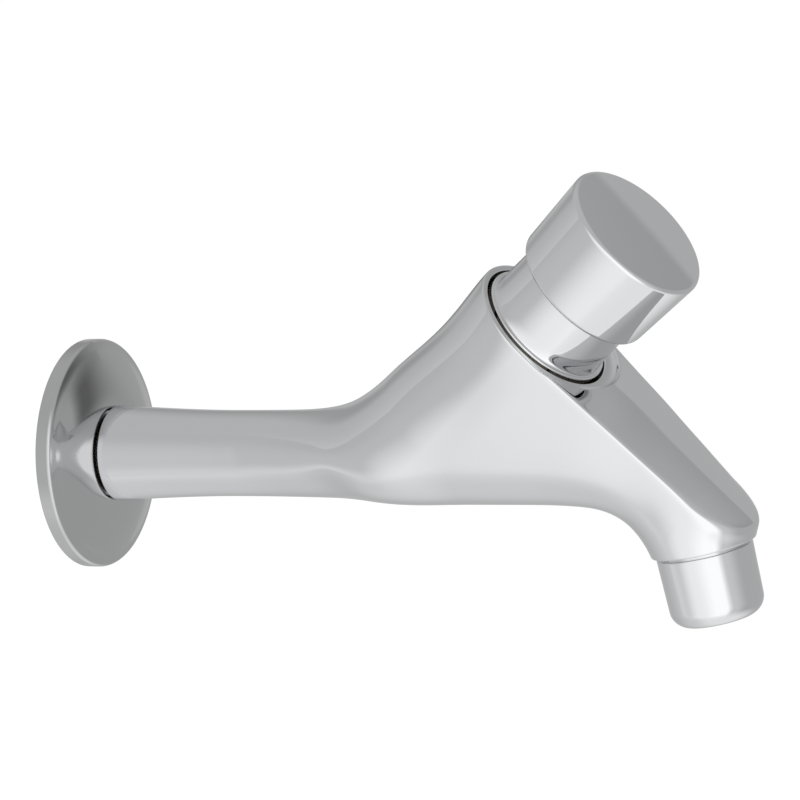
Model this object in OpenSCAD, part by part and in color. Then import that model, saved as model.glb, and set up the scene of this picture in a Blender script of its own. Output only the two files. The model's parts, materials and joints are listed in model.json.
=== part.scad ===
// Wall-mounted push timed tap.
// Frame: origin on the axis of the inlet thread, in the plane of the wall.
// +X runs out of the wall along the tube, +Z is up, and Y = 0 is the plane of symmetry.
// Heights called "h" or "_h" on the valve are measured along the inclined axis of the housing,
// from the point where that axis crosses the axis of the tube.

/* [Wall fitting] */
// Outside diameter of the inlet thread, G 1/2
thread_d = 20.955; // [19:0.005:21.4]
// Length of the inlet thread behind the wall
thread_len = 9; // [8:0.5:16]
// Diameter of the wall flange
flange_d = 58; // [50:0.5:75]
// Depth of the wall flange from the wall to its hub
flange_h = 7.9; // [6.5:0.1:11]
// Height of the flange's rim band
flange_rim_h = 3.9; // [2.5:0.1:5]
// Thickness of the flange's pressed sheet
flange_wall = 1.4; // [0.8:0.1:2]
// Open groove between the flange's hub and the end of the tube
hub_groove = 0.6; // [0.3:0.1:1]

/* [Body casting] */
// Distance from the wall to the crossing of the tube axis and the housing axis
crossing_x = 95.4; // [88:0.2:130]
// Diameter of the tube at its end near the wall
tube_end_d = 24.4; // [23:0.1:28]
// Diameter of the tube at its waist
tube_waist_d = 21.8; // [20:0.1:24]
// Distance from the wall to the waist
tube_waist_x = 42; // [36:0.5:48]
// Angle of the housing axis above the horizontal, in degrees
housing_tilt = 40.73; // [38:0.1:44]
// Diameter of the housing
housing_d = 40; // [39:0.2:44]
// Height of the machined mouth of the housing
mouth_h = 49.9; // [48:0.1:56]
// Depth of the belly below the tube axis, before the tube's own bottom is blended in
belly_drop = 8.8; // [8:0.1:11]
// Horizontal distance from the crossing to the centre of the spout's nose
nose_forward = 73.6; // [68:0.2:84]
// Depth of the nose's centre below the tube axis
nose_drop = 16.4; // [13:0.2:20]
// Diameter of the nose round its centre
nose_d = 25; // [24.6:0.1:28]
// Half width of the spout at its nose
nose_half_w = 13.8; // [13:0.1:15]
// Lift of the middle of the spout's top above the mouth
spout_lift = 1.2; // [0.5:0.05:2.5]
// How far the middle of the spout's top stands above its edges, at the nose
spout_crown = 1.7; // [0.5:0.1:3]
// Rise of the spout's top above the mouth plane, in mm per mm
spout_rise = 0.076; // [0:0.002:0.1]
// Bore of the inlet waterway
inlet_bore_d = 13; // [9:0.5:14]
// Bore of the outlet passage in the spout
outlet_bore_d = 11; // [7:0.5:12]

/* [Nozzle] */
// Tilt of the nozzle axis from the vertical, in degrees
nozzle_tilt = 7.5; // [4:0.5:16]
// Outside diameter of the nozzle
nozzle_d = 24.5; // [24.2:0.1:25]
// Visible length of the nozzle
nozzle_len = 18.8; // [14:0.2:24]
// Narrowing of the nozzle's radius toward its lower edge
nozzle_draft = 0.3; // [0:0.1:0.5]
// Radius of the nozzle's lower edge
nozzle_edge_r = 4.6; // [1:0.2:4.6]
// Length of the nozzle's threaded shank
nozzle_shank_len = 7.5; // [5:0.5:8.5]
// Thread diameter of the nozzle's shank
nozzle_thread_d = 22; // [20:0.1:22.4]

/* [Push button] */
// Largest diameter of the button
button_d = 39.6; // [39:0.2:46]
// Height of the button
button_h = 23; // [21:0.2:34]
// Height of the button's rim above the mouth, at rest
button_lift = 14.5; // [13.5:0.1:18]
// Travel of the button
travel = 8; // [4:0.5:9]
// Wall of the button at its rim
button_wall = 2; // [1:0.1:2.4]
// Thickness of the button's top
button_top = 2.6; // [2:0.1:4]
// Edge radius round the button's top
button_edge_r = 1.5; // [0.5:0.1:2.4]
// Height of the dome of the button's top
button_dome = 0.6; // [0.2:0.1:1.5]

/* [Bonnet] */
// Diameter of the bonnet's ring in the mouth
ring_d = 35; // [33:0.1:35.6]
// Height of the bonnet's ring
ring_h = 2.4; // [1.8:0.1:3]
// Width of the dark groove round the ring
ring_groove = 0.8; // [0.5:0.1:1.2]
// Depth of the ring's seat below the mouth
ring_sink = 1.7; // [1:0.1:2.4]
// Narrowing of the neck, in mm of radius per mm of height
neck_taper = 0.025; // [0:0.005:0.05]
// Height of the flared foot of the neck above the ring
neck_foot_h = 3.6; // [1:0.1:5]
// Thread diameter of the bonnet's shank
bonnet_thread_d = 30; // [28:0.1:31]
// Length of the bonnet's threaded shank
shank_len = 12.2; // [8:0.2:14]
// Diameter of the guide bush
bush_d = 14; // [12:0.2:17]

/* [Valve] */
// Height of the shoulder that carries the valve seat
seat_h = 20; // [18.5:0.1:21]
// Thickness of the seat carrier
carrier_h = 6; // [5:0.1:7]
// Diameter of the cartridge bore
cartridge_d = 27; // [25:0.1:28]
// Bore of the cylinder in which the piston works
cylinder_d = 22; // [20:0.1:23]
// Diameter of the inlet chamber under the seat
chamber_d = 21; // [20:0.1:22]
// Opening of the valve seat
seat_d = 11; // [9:0.1:12]
// Diameter of the stem in its guide
stem_d = 7.9; // [7:0.1:9]
// Diameter of the stem's threaded ends
stem_end_d = 6; // [5:0.1:6.6]
// Height of the piston
piston_h = 8; // [7:0.1:9]
// Wire of the return spring
spring_wire = 1.2; // [0.8:0.1:1.4]
// Turns of the return spring
spring_turns = 6; // [4:0.5:7]
// Windows round the cartridge sleeve
window_count = 6; // [4:1:8]

/* [Aerator and inlet screen] */
// Rings of holes round the middle hole of the aerator insert
insert_rings = 3; // [2:1:3]
// Diameter of the insert's holes
insert_hole_d = 2; // [1.4:0.1:2.2]
// Rings of holes round the middle hole of the inlet strainer
strainer_rings = 2; // [1:1:2]
// Diameter of the strainer's holes
strainer_hole_d = 1.8; // [1:0.1:2]
// Orifice of the flow regulator
orifice_d = 4; // [2:0.1:7]

/* [Clearances] */
// Radial clearance of parts screwed or pushed into each other
fit_gap = 0.05; // [0.02:0.01:0.08]
// Radial clearance of sliding parts
running_gap = 0.05; // [0.03:0.01:0.1]
// Clearance of moving parts that never touch
free_gap = 0.35; // [0.3:0.05:0.6]

/* [Hidden] */
$fn = 64;

// A little overlap for clean cuts
cut = 0.01;

// Directions and places of the three axes
housing_dir = [cos(housing_tilt), 0, sin(housing_tilt)];
slope_dir = [sin(housing_tilt), 0, -cos(housing_tilt)];
crossing = [crossing_x, 0, 0];
nozzle_dir = [sin(nozzle_tilt), 0, -cos(nozzle_tilt)];
nose = crossing + [nose_forward, 0, -nose_drop];
nose_to_joint = 7.3;
nose_reach = 5;
joint_centre = nose + nose_to_joint * nozzle_dir;

// Tube, with a plain shank between it and the thread
thread_relief = 0.3;
tube_start_x = flange_h + hub_groove;
tube_end_flare = (tube_end_d - tube_waist_d) / 2;
tube_flare_power = 1.7;
belly_swell = 0.2;
belly_start_x = tube_waist_x + 8;
belly_tube_length = 54.6;
belly_tube_fade = 20;
// The tube's section widens on its way into the housing, and the widening fades out inside it
tube_spread = 0.42;
spread_peak_x = crossing_x - 11.4;
spread_fall = 26;

// Spout outline in the slope plane: circles of the housing and of the nose
nose_setback = 2.1;
nose_t = (nose - crossing) * slope_dir - nose_setback;
spout_start_t = 8;
crown_at_mouth = 0.15;
spout_depth = 13;
spout_under_h = (nose - crossing) * housing_dir - spout_depth;
housing_foot_h = -12.8;
// The housing draws in a little below its mouth, fading out toward the spout
housing_waist = 1.2;
housing_waist_span = 20;
housing_waist_h = mouth_h - housing_waist_span;
waist_fade_t = 10;
waist_fade_run = 20;

// Blend widths of the casting
blend_corner = 15.5;
blend_belly = 24.4;
blend_foot = 16;
blend_edge = 2;
blend_nose_edge = 4;
blend_nose = 8;
blend_tube = 15;
// Where the spout's top edge turns softer on its way to the nose
soft_edge_t = 44;
soft_edge_run = 24;

// Machined land round the mouth, with a fillet toward the spout
land_r = housing_d / 2 + 1.6;
land_fillet = 2.4;
land_cut_h = 12;
// The skin stays this far under the mouth behind the spout, where a turned collar forms the rim
rim_relief = 3;
rim_relief_run = 6;
collar_h = 6;
collar_draft = 0.12;

// Bonnet, from the mouth
ring_floor_h = mouth_h - ring_sink;
ring_top_h = ring_floor_h + ring_h;
shank_end_h = ring_floor_h - shank_len;
neck_ledge = 1.25;
neck_flare = 0.4;
ring_edge = 0.5;
neck_foot_top_h = ring_top_h + neck_foot_h;
web_low_h = ring_top_h + 2.4;
web_h = 7;
web_top_h = web_low_h + web_h;
neck_overlap = 7;
rim_h = mouth_h + button_lift;
neck_top_h = rim_h + neck_overlap;
recess_r = bush_d / 2 + 4.5;
bonnet_ring_r = 0.85;

// Guide bush
bush_head_h = 2.2;
bush_head_r = bush_d / 2 + 2;
bush_top_h = web_top_h + bush_head_h;
stem_ring_r = 0.65;
stem_ring_h = web_low_h + web_h / 2;

// Cartridge
carrier_top_h = seat_h + carrier_h;
sleeve_top_h = web_low_h - fit_gap;
sleeve_upper_r = bonnet_thread_d / 2 - 2.4;
sleeve_collar = 1.5;
window_h = 5;
window_w = 5;
seat_lip_h = 0.6;
seat_lip_w = 1.5;
seat_ring_r = 0.85;

// Plunger
piston_top_h = web_low_h - 1;
piston_low_h = piston_top_h - piston_h;
piston_r = cylinder_d / 2 - 0.4;
spigot_h = 2;
spring_r = cylinder_d / 2 - 3;
spigot_r = spring_r - spring_wire / 2 - 0.9;
cup_h = 4;
cup_depth = 2;
clip_h = 1.1;
pin_r = 0.4;
pin_wall = 0.9;
pin_seat_h = 1.6;
pin_orbit_r = stem_d / 2 + running_gap + pin_wall + pin_r;
washer_h = 2.5;
disc_h = 3;
disc_rim_h = 1.4;
washer_r = seat_d / 2 + 2.6;
disc_r = washer_r + 1;
valve_nut_h = 3.4;
washer_top_h = seat_h - seat_lip_h - running_gap;
disc_top_h = washer_top_h - washer_h;
disc_low_h = disc_top_h - disc_h + disc_rim_h;
stem_low_h = disc_low_h - valve_nut_h - 0.8;
chamber_floor_h = stem_low_h - travel - 1.5;
nut_h = 3.5;
nut_low_h = bush_top_h + travel + free_gap;
boss_low_h = nut_low_h + nut_h;
button_top_h = rim_h + button_h;
stem_top_h = button_top_h - button_top - 2;

// Button
rim_bore_r = neck_r(rim_h - travel) + free_gap;
rim_r = rim_bore_r + button_wall;
rim_edge_r = 2;
boss_r = stem_end_d / 2 + 3;

// Nozzle, in heights above its lower face
nozzle_bore_r = nozzle_thread_d / 2 - 1.5;
nozzle_lip_r = nozzle_bore_r - 1;
nozzle_lip_h = 1.2;
nozzle_line = 0.2;
nozzle_top_z = nozzle_len - nozzle_line + nozzle_shank_len;
socket_depth = nozzle_shank_len + 0.5;
screen_h = 0.6;
nozzle_washer_h = 3.2;
insert_top_z = nozzle_top_z - nozzle_washer_h - 2 * screen_h;
socket_top_z = nozzle_len + socket_depth;

// Inlet end
tail_bore_r = thread_d / 2 - 2.5;
tail_depth = 6;
strainer_h = 3;
strainer_wall = 0.8;

// Radius of the neck's cone
function neck_r(h) = ring_d / 2 - neck_ledge - neck_taper * (h - ring_top_h);

// Smooth least and greatest of two distances, blended over the width k
function smooth_min(a, b, k) = let(u = max(k - abs(a - b), 0) / k) min(a, b) - u * u * u * k / 6;
function smooth_max(a, b, k) = -smooth_min(-a, -b, k);
function clamp(u) = min(max(u, 0), 1);
function ease(u) = let(v = clamp(u)) v * v * (3 - 2 * v);

// Radius of the waisted tube
function tube_r(x) =
    x < tube_waist_x
    ? tube_waist_d / 2
      + tube_end_flare * pow(clamp((tube_waist_x - x) / (tube_waist_x - tube_start_x)), tube_flare_power)
    : tube_waist_d / 2 + belly_swell * ease((x - belly_start_x) / (crossing_x - tube_waist_x));

// Half width of the tube's section as a multiple of its half height
function tube_stretch(x) =
    1 + tube_spread * ease((x - skin_start_x) / (spread_peak_x - skin_start_x))
    * ease((spread_peak_x + spread_fall - x) / spread_fall);

// Distance in the slope plane to the outline that wraps two circles on the line y = 0
function wrap_gap(t, y, t1, r1, t2, r2) =
    let(
        length = t2 - t1,
        sine = (r1 - r2) / length,
        cosine = sqrt(1 - sine * sine),
        side = abs(y),
        along = (t - t1) * cosine - side * sine
    )
    along < 0 ? norm([t - t1, side]) - r1
    : along > length * cosine ? norm([t - t2, side]) - r2
    : (t - t1) * sine + side * cosine - r1;

// Distance to the round neck of the spout, from the nose's centre past the nozzle's joint
function nose_gap(p) =
    let(
        length = nose_to_joint + nose_reach,
        along = clamp((p - nose) * nozzle_dir / length)
    )
    norm(p - nose - along * length * nozzle_dir) - nose_d / 2;

// Height of the spout's crowned top over the slope plane
function spout_top_h(t, y) =
    let(
        share = clamp(t / nose_t),
        half_w = housing_d / 2 + (nose_half_w - housing_d / 2) * share,
        crown = spout_crown * (crown_at_mouth + (1 - crown_at_mouth) * share)
    )
    mouth_h + spout_lift - rim_relief * ease((spout_start_t - t) / rim_relief_run)
    + spout_rise * max(t - spout_start_t, 0) - crown * pow(y / half_w, 2);

// Half width of the spout's outline, and the point of its top edge, at the distance t down the slope
function wrap_half_w(t, t1, r1, t2, r2) =
    let(sine = (r1 - r2) / (t2 - t1), cosine = sqrt(1 - sine * sine))
    t < t1 + r1 * sine ? sqrt(max(r1 * r1 - (t - t1) * (t - t1), 0))
    : t > t2 + r2 * sine ? sqrt(max(r2 * r2 - (t - t2) * (t - t2), 0))
    : (r1 - (t - t1) * sine) / cosine;
function edge_point(t) =
    let(y = wrap_half_w(t, 0, housing_d / 2, nose_t, nose_half_w))
    crossing + spout_top_h(t, y) * housing_dir + t * slope_dir + [0, y, 0];

// Distance from a point to the outer skin of the casting, below zero inside
function skin_gap(p) =
    let(
        q = p - crossing,
        h = q * housing_dir,
        t = q * slope_dir,
        tube = smooth_max(
            norm([p.y / tube_stretch(p.x), p.z]) - tube_r(p.x),
            p.x - crossing_x - belly_tube_length, belly_tube_fade
        ),
        pinch = housing_waist * pow(clamp(1 - pow((h - housing_waist_h) / housing_waist_span, 2)), 2),
        flank = wrap_gap(t, p.y, 0, housing_d / 2, nose_t, nose_half_w)
            + pinch * ease((waist_fade_t - t) / waist_fade_run),
        under = smooth_min(-p.z - belly_drop, spout_under_h - h, blend_corner),
        hull_gap = smooth_max(flank, under, blend_belly),
        footed = smooth_max(hull_gap, housing_foot_h - h, blend_foot),
        nosed = smooth_min(footed, nose_gap(p), blend_nose),
        edge = blend_edge + (blend_nose_edge - blend_edge) * ease((t - soft_edge_t) / soft_edge_run),
        topped = smooth_max(nosed, h - spout_top_h(t, p.y), edge)
    )
    smooth_min(topped, tube, blend_tube);

// Radius at which a ray from inside the casting meets the skin
least_reach = 1;
most_reach = 66;
reach_steps = 15;
function skin_reach(from, along, low, high, steps) =
    let(middle = (low + high) / 2)
    steps == 0 ? middle
    : skin_gap(from + middle * along) < 0
      ? skin_reach(from, along, middle, high, steps - 1)
      : skin_reach(from, along, low, middle, steps - 1);

// Centre line of the casting: along the tube, then one curve down to the nozzle's joint
skin_start_x = tube_waist_x + 4;
bend_start = crossing - [20, 0, 0];
bend_pull = 50;
joint_pull = 32;
bend_points = [
    bend_start, bend_start + [bend_pull, 0, 0],
    joint_centre - joint_pull * nozzle_dir, joint_centre
];
function unit(v) = v / norm(v);
function curve_point(p, u) =
    let(v = 1 - u)
    v * v * v * p[0] + 3 * v * v * u * p[1] + 3 * v * u * u * p[2] + u * u * u * p[3];
function curve_dir(p, u) =
    let(v = 1 - u)
    unit(v * v * (p[1] - p[0]) + 2 * v * u * (p[2] - p[1]) + u * u * (p[3] - p[2]));
tube_stations = 5;
bend_stations = 42;
// Stations stand closer together toward the nose
station_crowding = 1.35;
skin_sides = 46;
top_sides = 12;
function stations() = concat(
    [for (i = [0 : tube_stations - 1])
        [[skin_start_x + (bend_start.x - skin_start_x) * i / tube_stations, 0, 0], [1, 0, 0]]],
    [for (i = [0 : bend_stations])
        let(u = 1 - pow(1 - i / bend_stations, station_crowding))
        [curve_point(bend_points, u), curve_dir(bend_points, u)]]
);

// Distance down the slope at which the top edge crosses the plane of a station
function edge_crossing(station, low, high, steps) =
    let(middle = (low + high) / 2)
    steps == 0 ? middle
    : (edge_point(middle) - station[0]) * station[1] < 0
      ? edge_crossing(station, middle, high, steps - 1)
      : edge_crossing(station, low, middle, steps - 1);

// Turn of the ray that runs to the top edge, so that the edge lies on a row of points
least_edge_turn = 25;
plane_tolerance = 0.1;
function edge_turn(station, up) =
    let(
        edge = edge_point(edge_crossing(station, -housing_d / 2, nose_t + nose_half_w, reach_steps)) - station[0]
    )
    abs(edge * station[1]) > plane_tolerance ? least_edge_turn
    : max(least_edge_turn, atan2(edge.y, edge * up));

// One ring of points where rays square to the centre line meet the skin
function skin_ring(station) =
    let(
        up = [-station[1].z, 0, station[1].x],
        edge = edge_turn(station, up)
    )
    [
        for (k = [0 : skin_sides - 1])
            let(
                turn = k < top_sides
                    ? edge * (2 * k / top_sides - 1)
                    : edge + (360 - 2 * edge) * (k - top_sides) / (skin_sides - top_sides),
                along = cos(turn) * up - sin(turn) * [0, 1, 0]
            )
            station[0] + skin_reach(station[0], along, least_reach, most_reach, reach_steps) * along
    ];

// Closed tube of triangles through rings of equally many points
module loft(rings) {
    sides = len(rings[0]);
    last = len(rings) - 1;
    points = [for (ring = rings) for (p = ring) p];
    walls = [
        for (i = [0 : last - 1])
            for (k = [0 : sides - 1])
                let(
                    a = i * sides + k,
                    b = i * sides + (k + 1) % sides,
                    c = b + sides,
                    d = a + sides
                )
                each [[a, c, b], [a, d, c]]
    ];
    first_cap = [for (k = [0 : sides - 1]) k];
    last_cap = [for (k = [sides - 1 : -1 : 0]) last * sides + k];
    polyhedron(points, concat(walls, [first_cap, last_cap]));
}

// Frames: along the tube, along the housing and along the nozzle
module along_tube(x) {
    translate([x, 0, 0]) rotate([0, 90, 0]) children();
}
module along_housing(h) {
    translate(crossing + h * housing_dir) rotate([0, 90 - housing_tilt, 0]) children();
}
module along_nozzle(z) {
    translate(joint_centre + (nozzle_len - z) * nozzle_dir) rotate([0, -nozzle_tilt, 0]) children();
}

// Round tools shared by the parts
module ring(outer_r, inner_r, height) {
    difference() {
        cylinder(r = outer_r, h = height);
        translate([0, 0, -cut]) cylinder(r = inner_r, h = height + 2 * cut);
    }
}
module o_ring(middle_r, wire_r) {
    rotate_extrude() translate([middle_r, 0]) circle(r = wire_r, $fn = 32);
}
module hex_nut(bore_r, height) {
    difference() {
        cylinder(r = bore_r * 1.75, h = height, $fn = 6);
        translate([0, 0, -cut]) cylinder(r = bore_r, h = height + 2 * cut);
    }
}
module rod_between(a, b, r) {
    run = b - a;
    translate(a)
        rotate([0, acos(run.z / norm(run)), atan2(run.y, run.x)])
            cylinder(r = r, h = norm(run));
}
// Holes on rings round a middle hole
module hole_rings(rings, pitch, hole_r, height) {
    cylinder(r = hole_r, h = height);
    for (ring = [1 : rings])
        for (k = [0 : 6 * ring - 1])
            rotate([0, 0, 60 * k / ring])
                translate([ring * pitch, 0, 0]) cylinder(r = hole_r, h = height);
}

// Brass casting with its machined bores
module body() {
    color("silver") difference() {
        union() {
            loft([for (s = stations()) skin_ring(s)]);
            along_tube(0) tube_blank();
            along_housing(mouth_h - collar_h)
                cylinder(r1 = housing_d / 2 - collar_draft, r2 = housing_d / 2, h = collar_h);
            along_tube(-thread_len) cylinder(r = thread_d / 2, h = thread_len);
            along_tube(-1) cylinder(r = thread_d / 2 - thread_relief, h = tube_start_x + 2);
        }
        mouth_bores();
        waterway();
    }
}
// Turned stretch of the tube between the wall flange and the start of the blended skin.
// It stands a hair proud of the skin where that begins, and then dips under it.
module tube_blank() {
    profile_steps = 14;
    edge = 0.5;
    proud = 0.05;
    dip = 0.3;
    dip_end_x = skin_start_x + 1;
    rotate_extrude() polygon(concat(
        [[0, tube_start_x], [tube_r(tube_start_x) - edge, tube_start_x]],
        [for (i = [0 : profile_steps])
            let(x = tube_start_x + edge + (skin_start_x - tube_start_x - edge) * i / profile_steps)
            [tube_r(x) + proud, x]],
        [[tube_r(dip_end_x) - dip, dip_end_x], [0, dip_end_x]]
    ));
}
// Mouth, thread, cartridge bore and inlet chamber, all on the housing axis
module mouth_bores() {
    along_housing(mouth_h) rotate_extrude() polygon(concat(
        [[0, 0]],
        [for (turn = [270 : 15 : 360])
            [land_r - land_fillet + land_fillet * cos(turn), land_fillet + land_fillet * sin(turn)]],
        [[land_r, land_cut_h], [0, land_cut_h]]
    ));
    along_housing(ring_floor_h) cylinder(r = ring_d / 2 + ring_groove, h = ring_sink + 1);
    along_housing(ring_floor_h - 2 * bonnet_ring_r - fit_gap)
        cylinder(r = bonnet_thread_d / 2 + 2 * bonnet_ring_r, h = 3);
    along_housing(shank_end_h - 2 * fit_gap) cylinder(r = bonnet_thread_d / 2, h = shank_len + 1);
    along_housing(seat_h) cylinder(r = cartridge_d / 2, h = shank_end_h - seat_h + 1);
    along_housing(chamber_floor_h) cylinder(r = chamber_d / 2, h = seat_h - chamber_floor_h + 1);
}
// Inlet bore, outlet passage and nozzle socket
module waterway() {
    inlet_end_x = crossing_x + chamber_floor_h * cos(housing_tilt) + inlet_bore_d / 2 * tan(housing_tilt);
    along_tube(-thread_len - 1) cylinder(r = inlet_bore_d / 2, h = thread_len + 1 + inlet_end_x);
    along_tube(-thread_len - 1) cylinder(r = tail_bore_r, h = tail_depth + 1);
    port = crossing + (carrier_top_h + sleeve_collar + window_h / 2) * housing_dir;
    rod_between(port, joint_centre - (socket_depth - 1) * nozzle_dir, outlet_bore_d / 2);
    along_nozzle(nozzle_len - 1) cylinder(r = nozzle_thread_d / 2, h = socket_depth + 1);
}

// Pressed wall plate: rim band, shallow dome and a hole that passes over the thread
module wall_flange() {
    rim_r = flange_d / 2;
    hole_r = thread_d / 2 + 0.45;
    hub_r = tube_r(tube_start_x) + 0.3;
    edge = 1;
    dome_steps = 8;
    dome = [
        for (i = [0 : dome_steps])
            let(u = i / dome_steps)
            [rim_r - edge - u * (rim_r - edge - hub_r),
             flange_rim_h + (flange_h - flange_rim_h) * (1 - pow(1 - u, 1.35))]
    ];
    bend = [for (turn = [15 : 15 : 75])
        [rim_r - edge + edge * cos(turn), flange_rim_h - edge + edge * sin(turn)]];
    color("silver") along_tube(0) rotate_extrude() polygon(concat(
        [[rim_r - flange_wall, 0], [rim_r, 0], [rim_r, flange_rim_h - edge]],
        bend, dome, [[hole_r, flange_h], [hole_r, flange_h - flange_wall]],
        [for (i = [dome_steps : -1 : 0]) [min(dome[i].x, rim_r - flange_wall), dome[i].y - flange_wall]]
    ));
}

// Dished screen at the end of the tail
module inlet_strainer() {
    basket_r = tail_bore_r - 1.6;
    color("gainsboro") along_tube(-thread_len) difference() {
        ring(tail_bore_r - fit_gap, 0.1, strainer_h);
        translate([0, 0, strainer_wall]) cylinder(r = basket_r, h = strainer_h);
        translate([0, 0, -cut])
            hole_rings(strainer_rings, basket_r / (strainer_rings + 0.6), strainer_hole_d / 2, strainer_h);
    }
}

// Disc that limits the flow, on the shoulder behind the strainer
module flow_regulator() {
    color("royalblue") along_tube(-thread_len + strainer_h) difference() {
        cylinder(r = tail_bore_r - fit_gap, h = tail_depth - strainer_h);
        translate([0, 0, -cut]) cylinder(r = orifice_d / 2, h = tail_depth);
        translate([0, 0, -cut]) cylinder(r1 = orifice_d / 2 + 1.5, r2 = orifice_d / 2, h = 1.5);
    }
}

// Bonnet: ring in the mouth, conical neck above it, threaded shank below
module bonnet() {
    ring_r = ring_d / 2;
    shank_r = bonnet_thread_d / 2 - fit_gap;
    crown = 0.8;
    color("silver") difference() {
        along_housing(0) rotate_extrude() polygon([
            [0, web_low_h],
            [sleeve_upper_r + fit_gap, web_low_h],
            [sleeve_upper_r + fit_gap, shank_end_h],
            [shank_r, shank_end_h],
            [shank_r, ring_floor_h],
            [ring_r, ring_floor_h],
            [ring_r, ring_top_h - ring_edge],
            [ring_r - ring_edge, ring_top_h],
            [neck_r(ring_top_h) + neck_flare, ring_top_h],
            [neck_r(neck_foot_top_h), neck_foot_top_h],
            [neck_r(neck_top_h - crown), neck_top_h - crown],
            [neck_r(neck_top_h) - crown, neck_top_h],
            [recess_r, neck_top_h],
            [recess_r, web_top_h],
            [0, web_top_h]
        ]);
        along_housing(web_low_h - 1) cylinder(r = bush_d / 2, h = web_h + 2);
    }
}

// Round seals
module bonnet_o_ring() {
    color("dimgray") along_housing(ring_floor_h - bonnet_ring_r - fit_gap / 2)
        o_ring(bonnet_thread_d / 2 + bonnet_ring_r, bonnet_ring_r - fit_gap / 2);
}
module stem_o_ring() {
    color("dimgray") along_housing(stem_ring_h)
        o_ring(stem_d / 2 + 2 * running_gap + stem_ring_r, stem_ring_r);
}
module seat_o_ring() {
    color("dimgray") along_housing(seat_h + carrier_h / 2)
        o_ring(cartridge_d / 2 - fit_gap - seat_ring_r, seat_ring_r);
}

// Screwed gland that guides the stem
module guide_bush() {
    bore_r = stem_d / 2 + running_gap;
    groove_r = stem_d / 2 + 2 * running_gap + 2 * stem_ring_r;
    color("goldenrod") along_housing(0) difference() {
        union() {
            translate([0, 0, web_low_h]) cylinder(r = bush_d / 2 - fit_gap, h = web_h + cut);
            translate([0, 0, web_top_h]) cylinder(r = bush_head_r, h = bush_head_h);
        }
        translate([0, 0, web_low_h - 1]) cylinder(r = bore_r, h = web_h + bush_head_h + 2);
        translate([0, 0, stem_ring_h - stem_ring_r - fit_gap])
            cylinder(r = groove_r, h = 2 * (stem_ring_r + fit_gap));
        translate([0, pin_orbit_r, web_low_h - 1]) cylinder(r = pin_r + fit_gap, h = pin_seat_h + 1);
        for (side = [-1, 1])
            translate([side * bush_head_r, 0, web_top_h + bush_head_h / 2])
                cube([2.4, 2.4, bush_head_h + cut], center = true);
    }
}

// Wire through the piston's bleed hole, hung in the guide bush
module timing_pin() {
    low = piston_low_h - spigot_h - travel;
    color("silver") along_housing(low)
        translate([0, pin_orbit_r, 0]) cylinder(r = pin_r, h = web_low_h + pin_seat_h - fit_gap - low);
}

// Cylinder of the timing piston, with windows to the outlet
module cartridge_sleeve() {
    outer_r = cartridge_d / 2 - fit_gap;
    gallery_low = carrier_top_h + sleeve_collar;
    gallery_top = shank_end_h - sleeve_collar;
    gallery_r = outer_r - 1;
    color("whitesmoke") along_housing(0) difference() {
        rotate_extrude() polygon([
            [cylinder_d / 2, carrier_top_h],
            [outer_r, carrier_top_h],
            [outer_r, gallery_low],
            [gallery_r, gallery_low],
            [gallery_r, gallery_top],
            [outer_r, gallery_top],
            [outer_r, shank_end_h - fit_gap],
            [sleeve_upper_r, shank_end_h - fit_gap],
            [sleeve_upper_r, sleeve_top_h],
            [cylinder_d / 2, sleeve_top_h]
        ]);
        for (k = [0 : window_count - 1])
            rotate([0, 0, 360 * k / window_count])
                translate([0, -window_w / 2, gallery_low + 0.5]) cube([cartridge_d, window_w, window_h]);
    }
}

// Valve seat with a raised lip on its inlet side
module seat_carrier() {
    outer_r = cartridge_d / 2 - fit_gap;
    groove_r = outer_r - 2 * seat_ring_r - fit_gap;
    groove_half = seat_ring_r + 0.15;
    middle = seat_h + carrier_h / 2;
    color("goldenrod") along_housing(0) rotate_extrude() polygon([
        [seat_d / 2, seat_h - seat_lip_h],
        [seat_d / 2 + seat_lip_w, seat_h - seat_lip_h],
        [seat_d / 2 + seat_lip_w + seat_lip_h, seat_h],
        [outer_r, seat_h],
        [outer_r, middle - groove_half],
        [groove_r, middle - groove_half],
        [groove_r, middle + groove_half],
        [outer_r, middle + groove_half],
        [outer_r, carrier_top_h],
        [seat_d / 2 + 1, carrier_top_h],
        [seat_d / 2, carrier_top_h - 1]
    ]);
}

// Compression spring between the seat carrier and the piston
module return_spring() {
    wire_r = spring_wire / 2;
    low = carrier_top_h + wire_r + fit_gap;
    high = piston_low_h - wire_r - fit_gap;
    ring_steps = 14;
    wire_sides = 6;
    count = spring_turns * ring_steps;
    rise_angle = atan2(high - low, spring_turns * 2 * PI * spring_r);
    color("lightsteelblue") along_housing(0) loft([
        for (i = [0 : count])
            let(
                turn = 360 * i / ring_steps,
                middle = [spring_r * cos(turn), spring_r * sin(turn), low + (high - low) * i / count],
                outward = [cos(turn), sin(turn), 0],
                across = [sin(rise_angle) * sin(turn), -sin(rise_angle) * cos(turn), cos(rise_angle)]
            )
            [for (k = [0 : wire_sides - 1])
                middle + wire_r * (cos(360 * k / wire_sides) * outward + sin(360 * k / wire_sides) * across)]
    ]);
}

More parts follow.
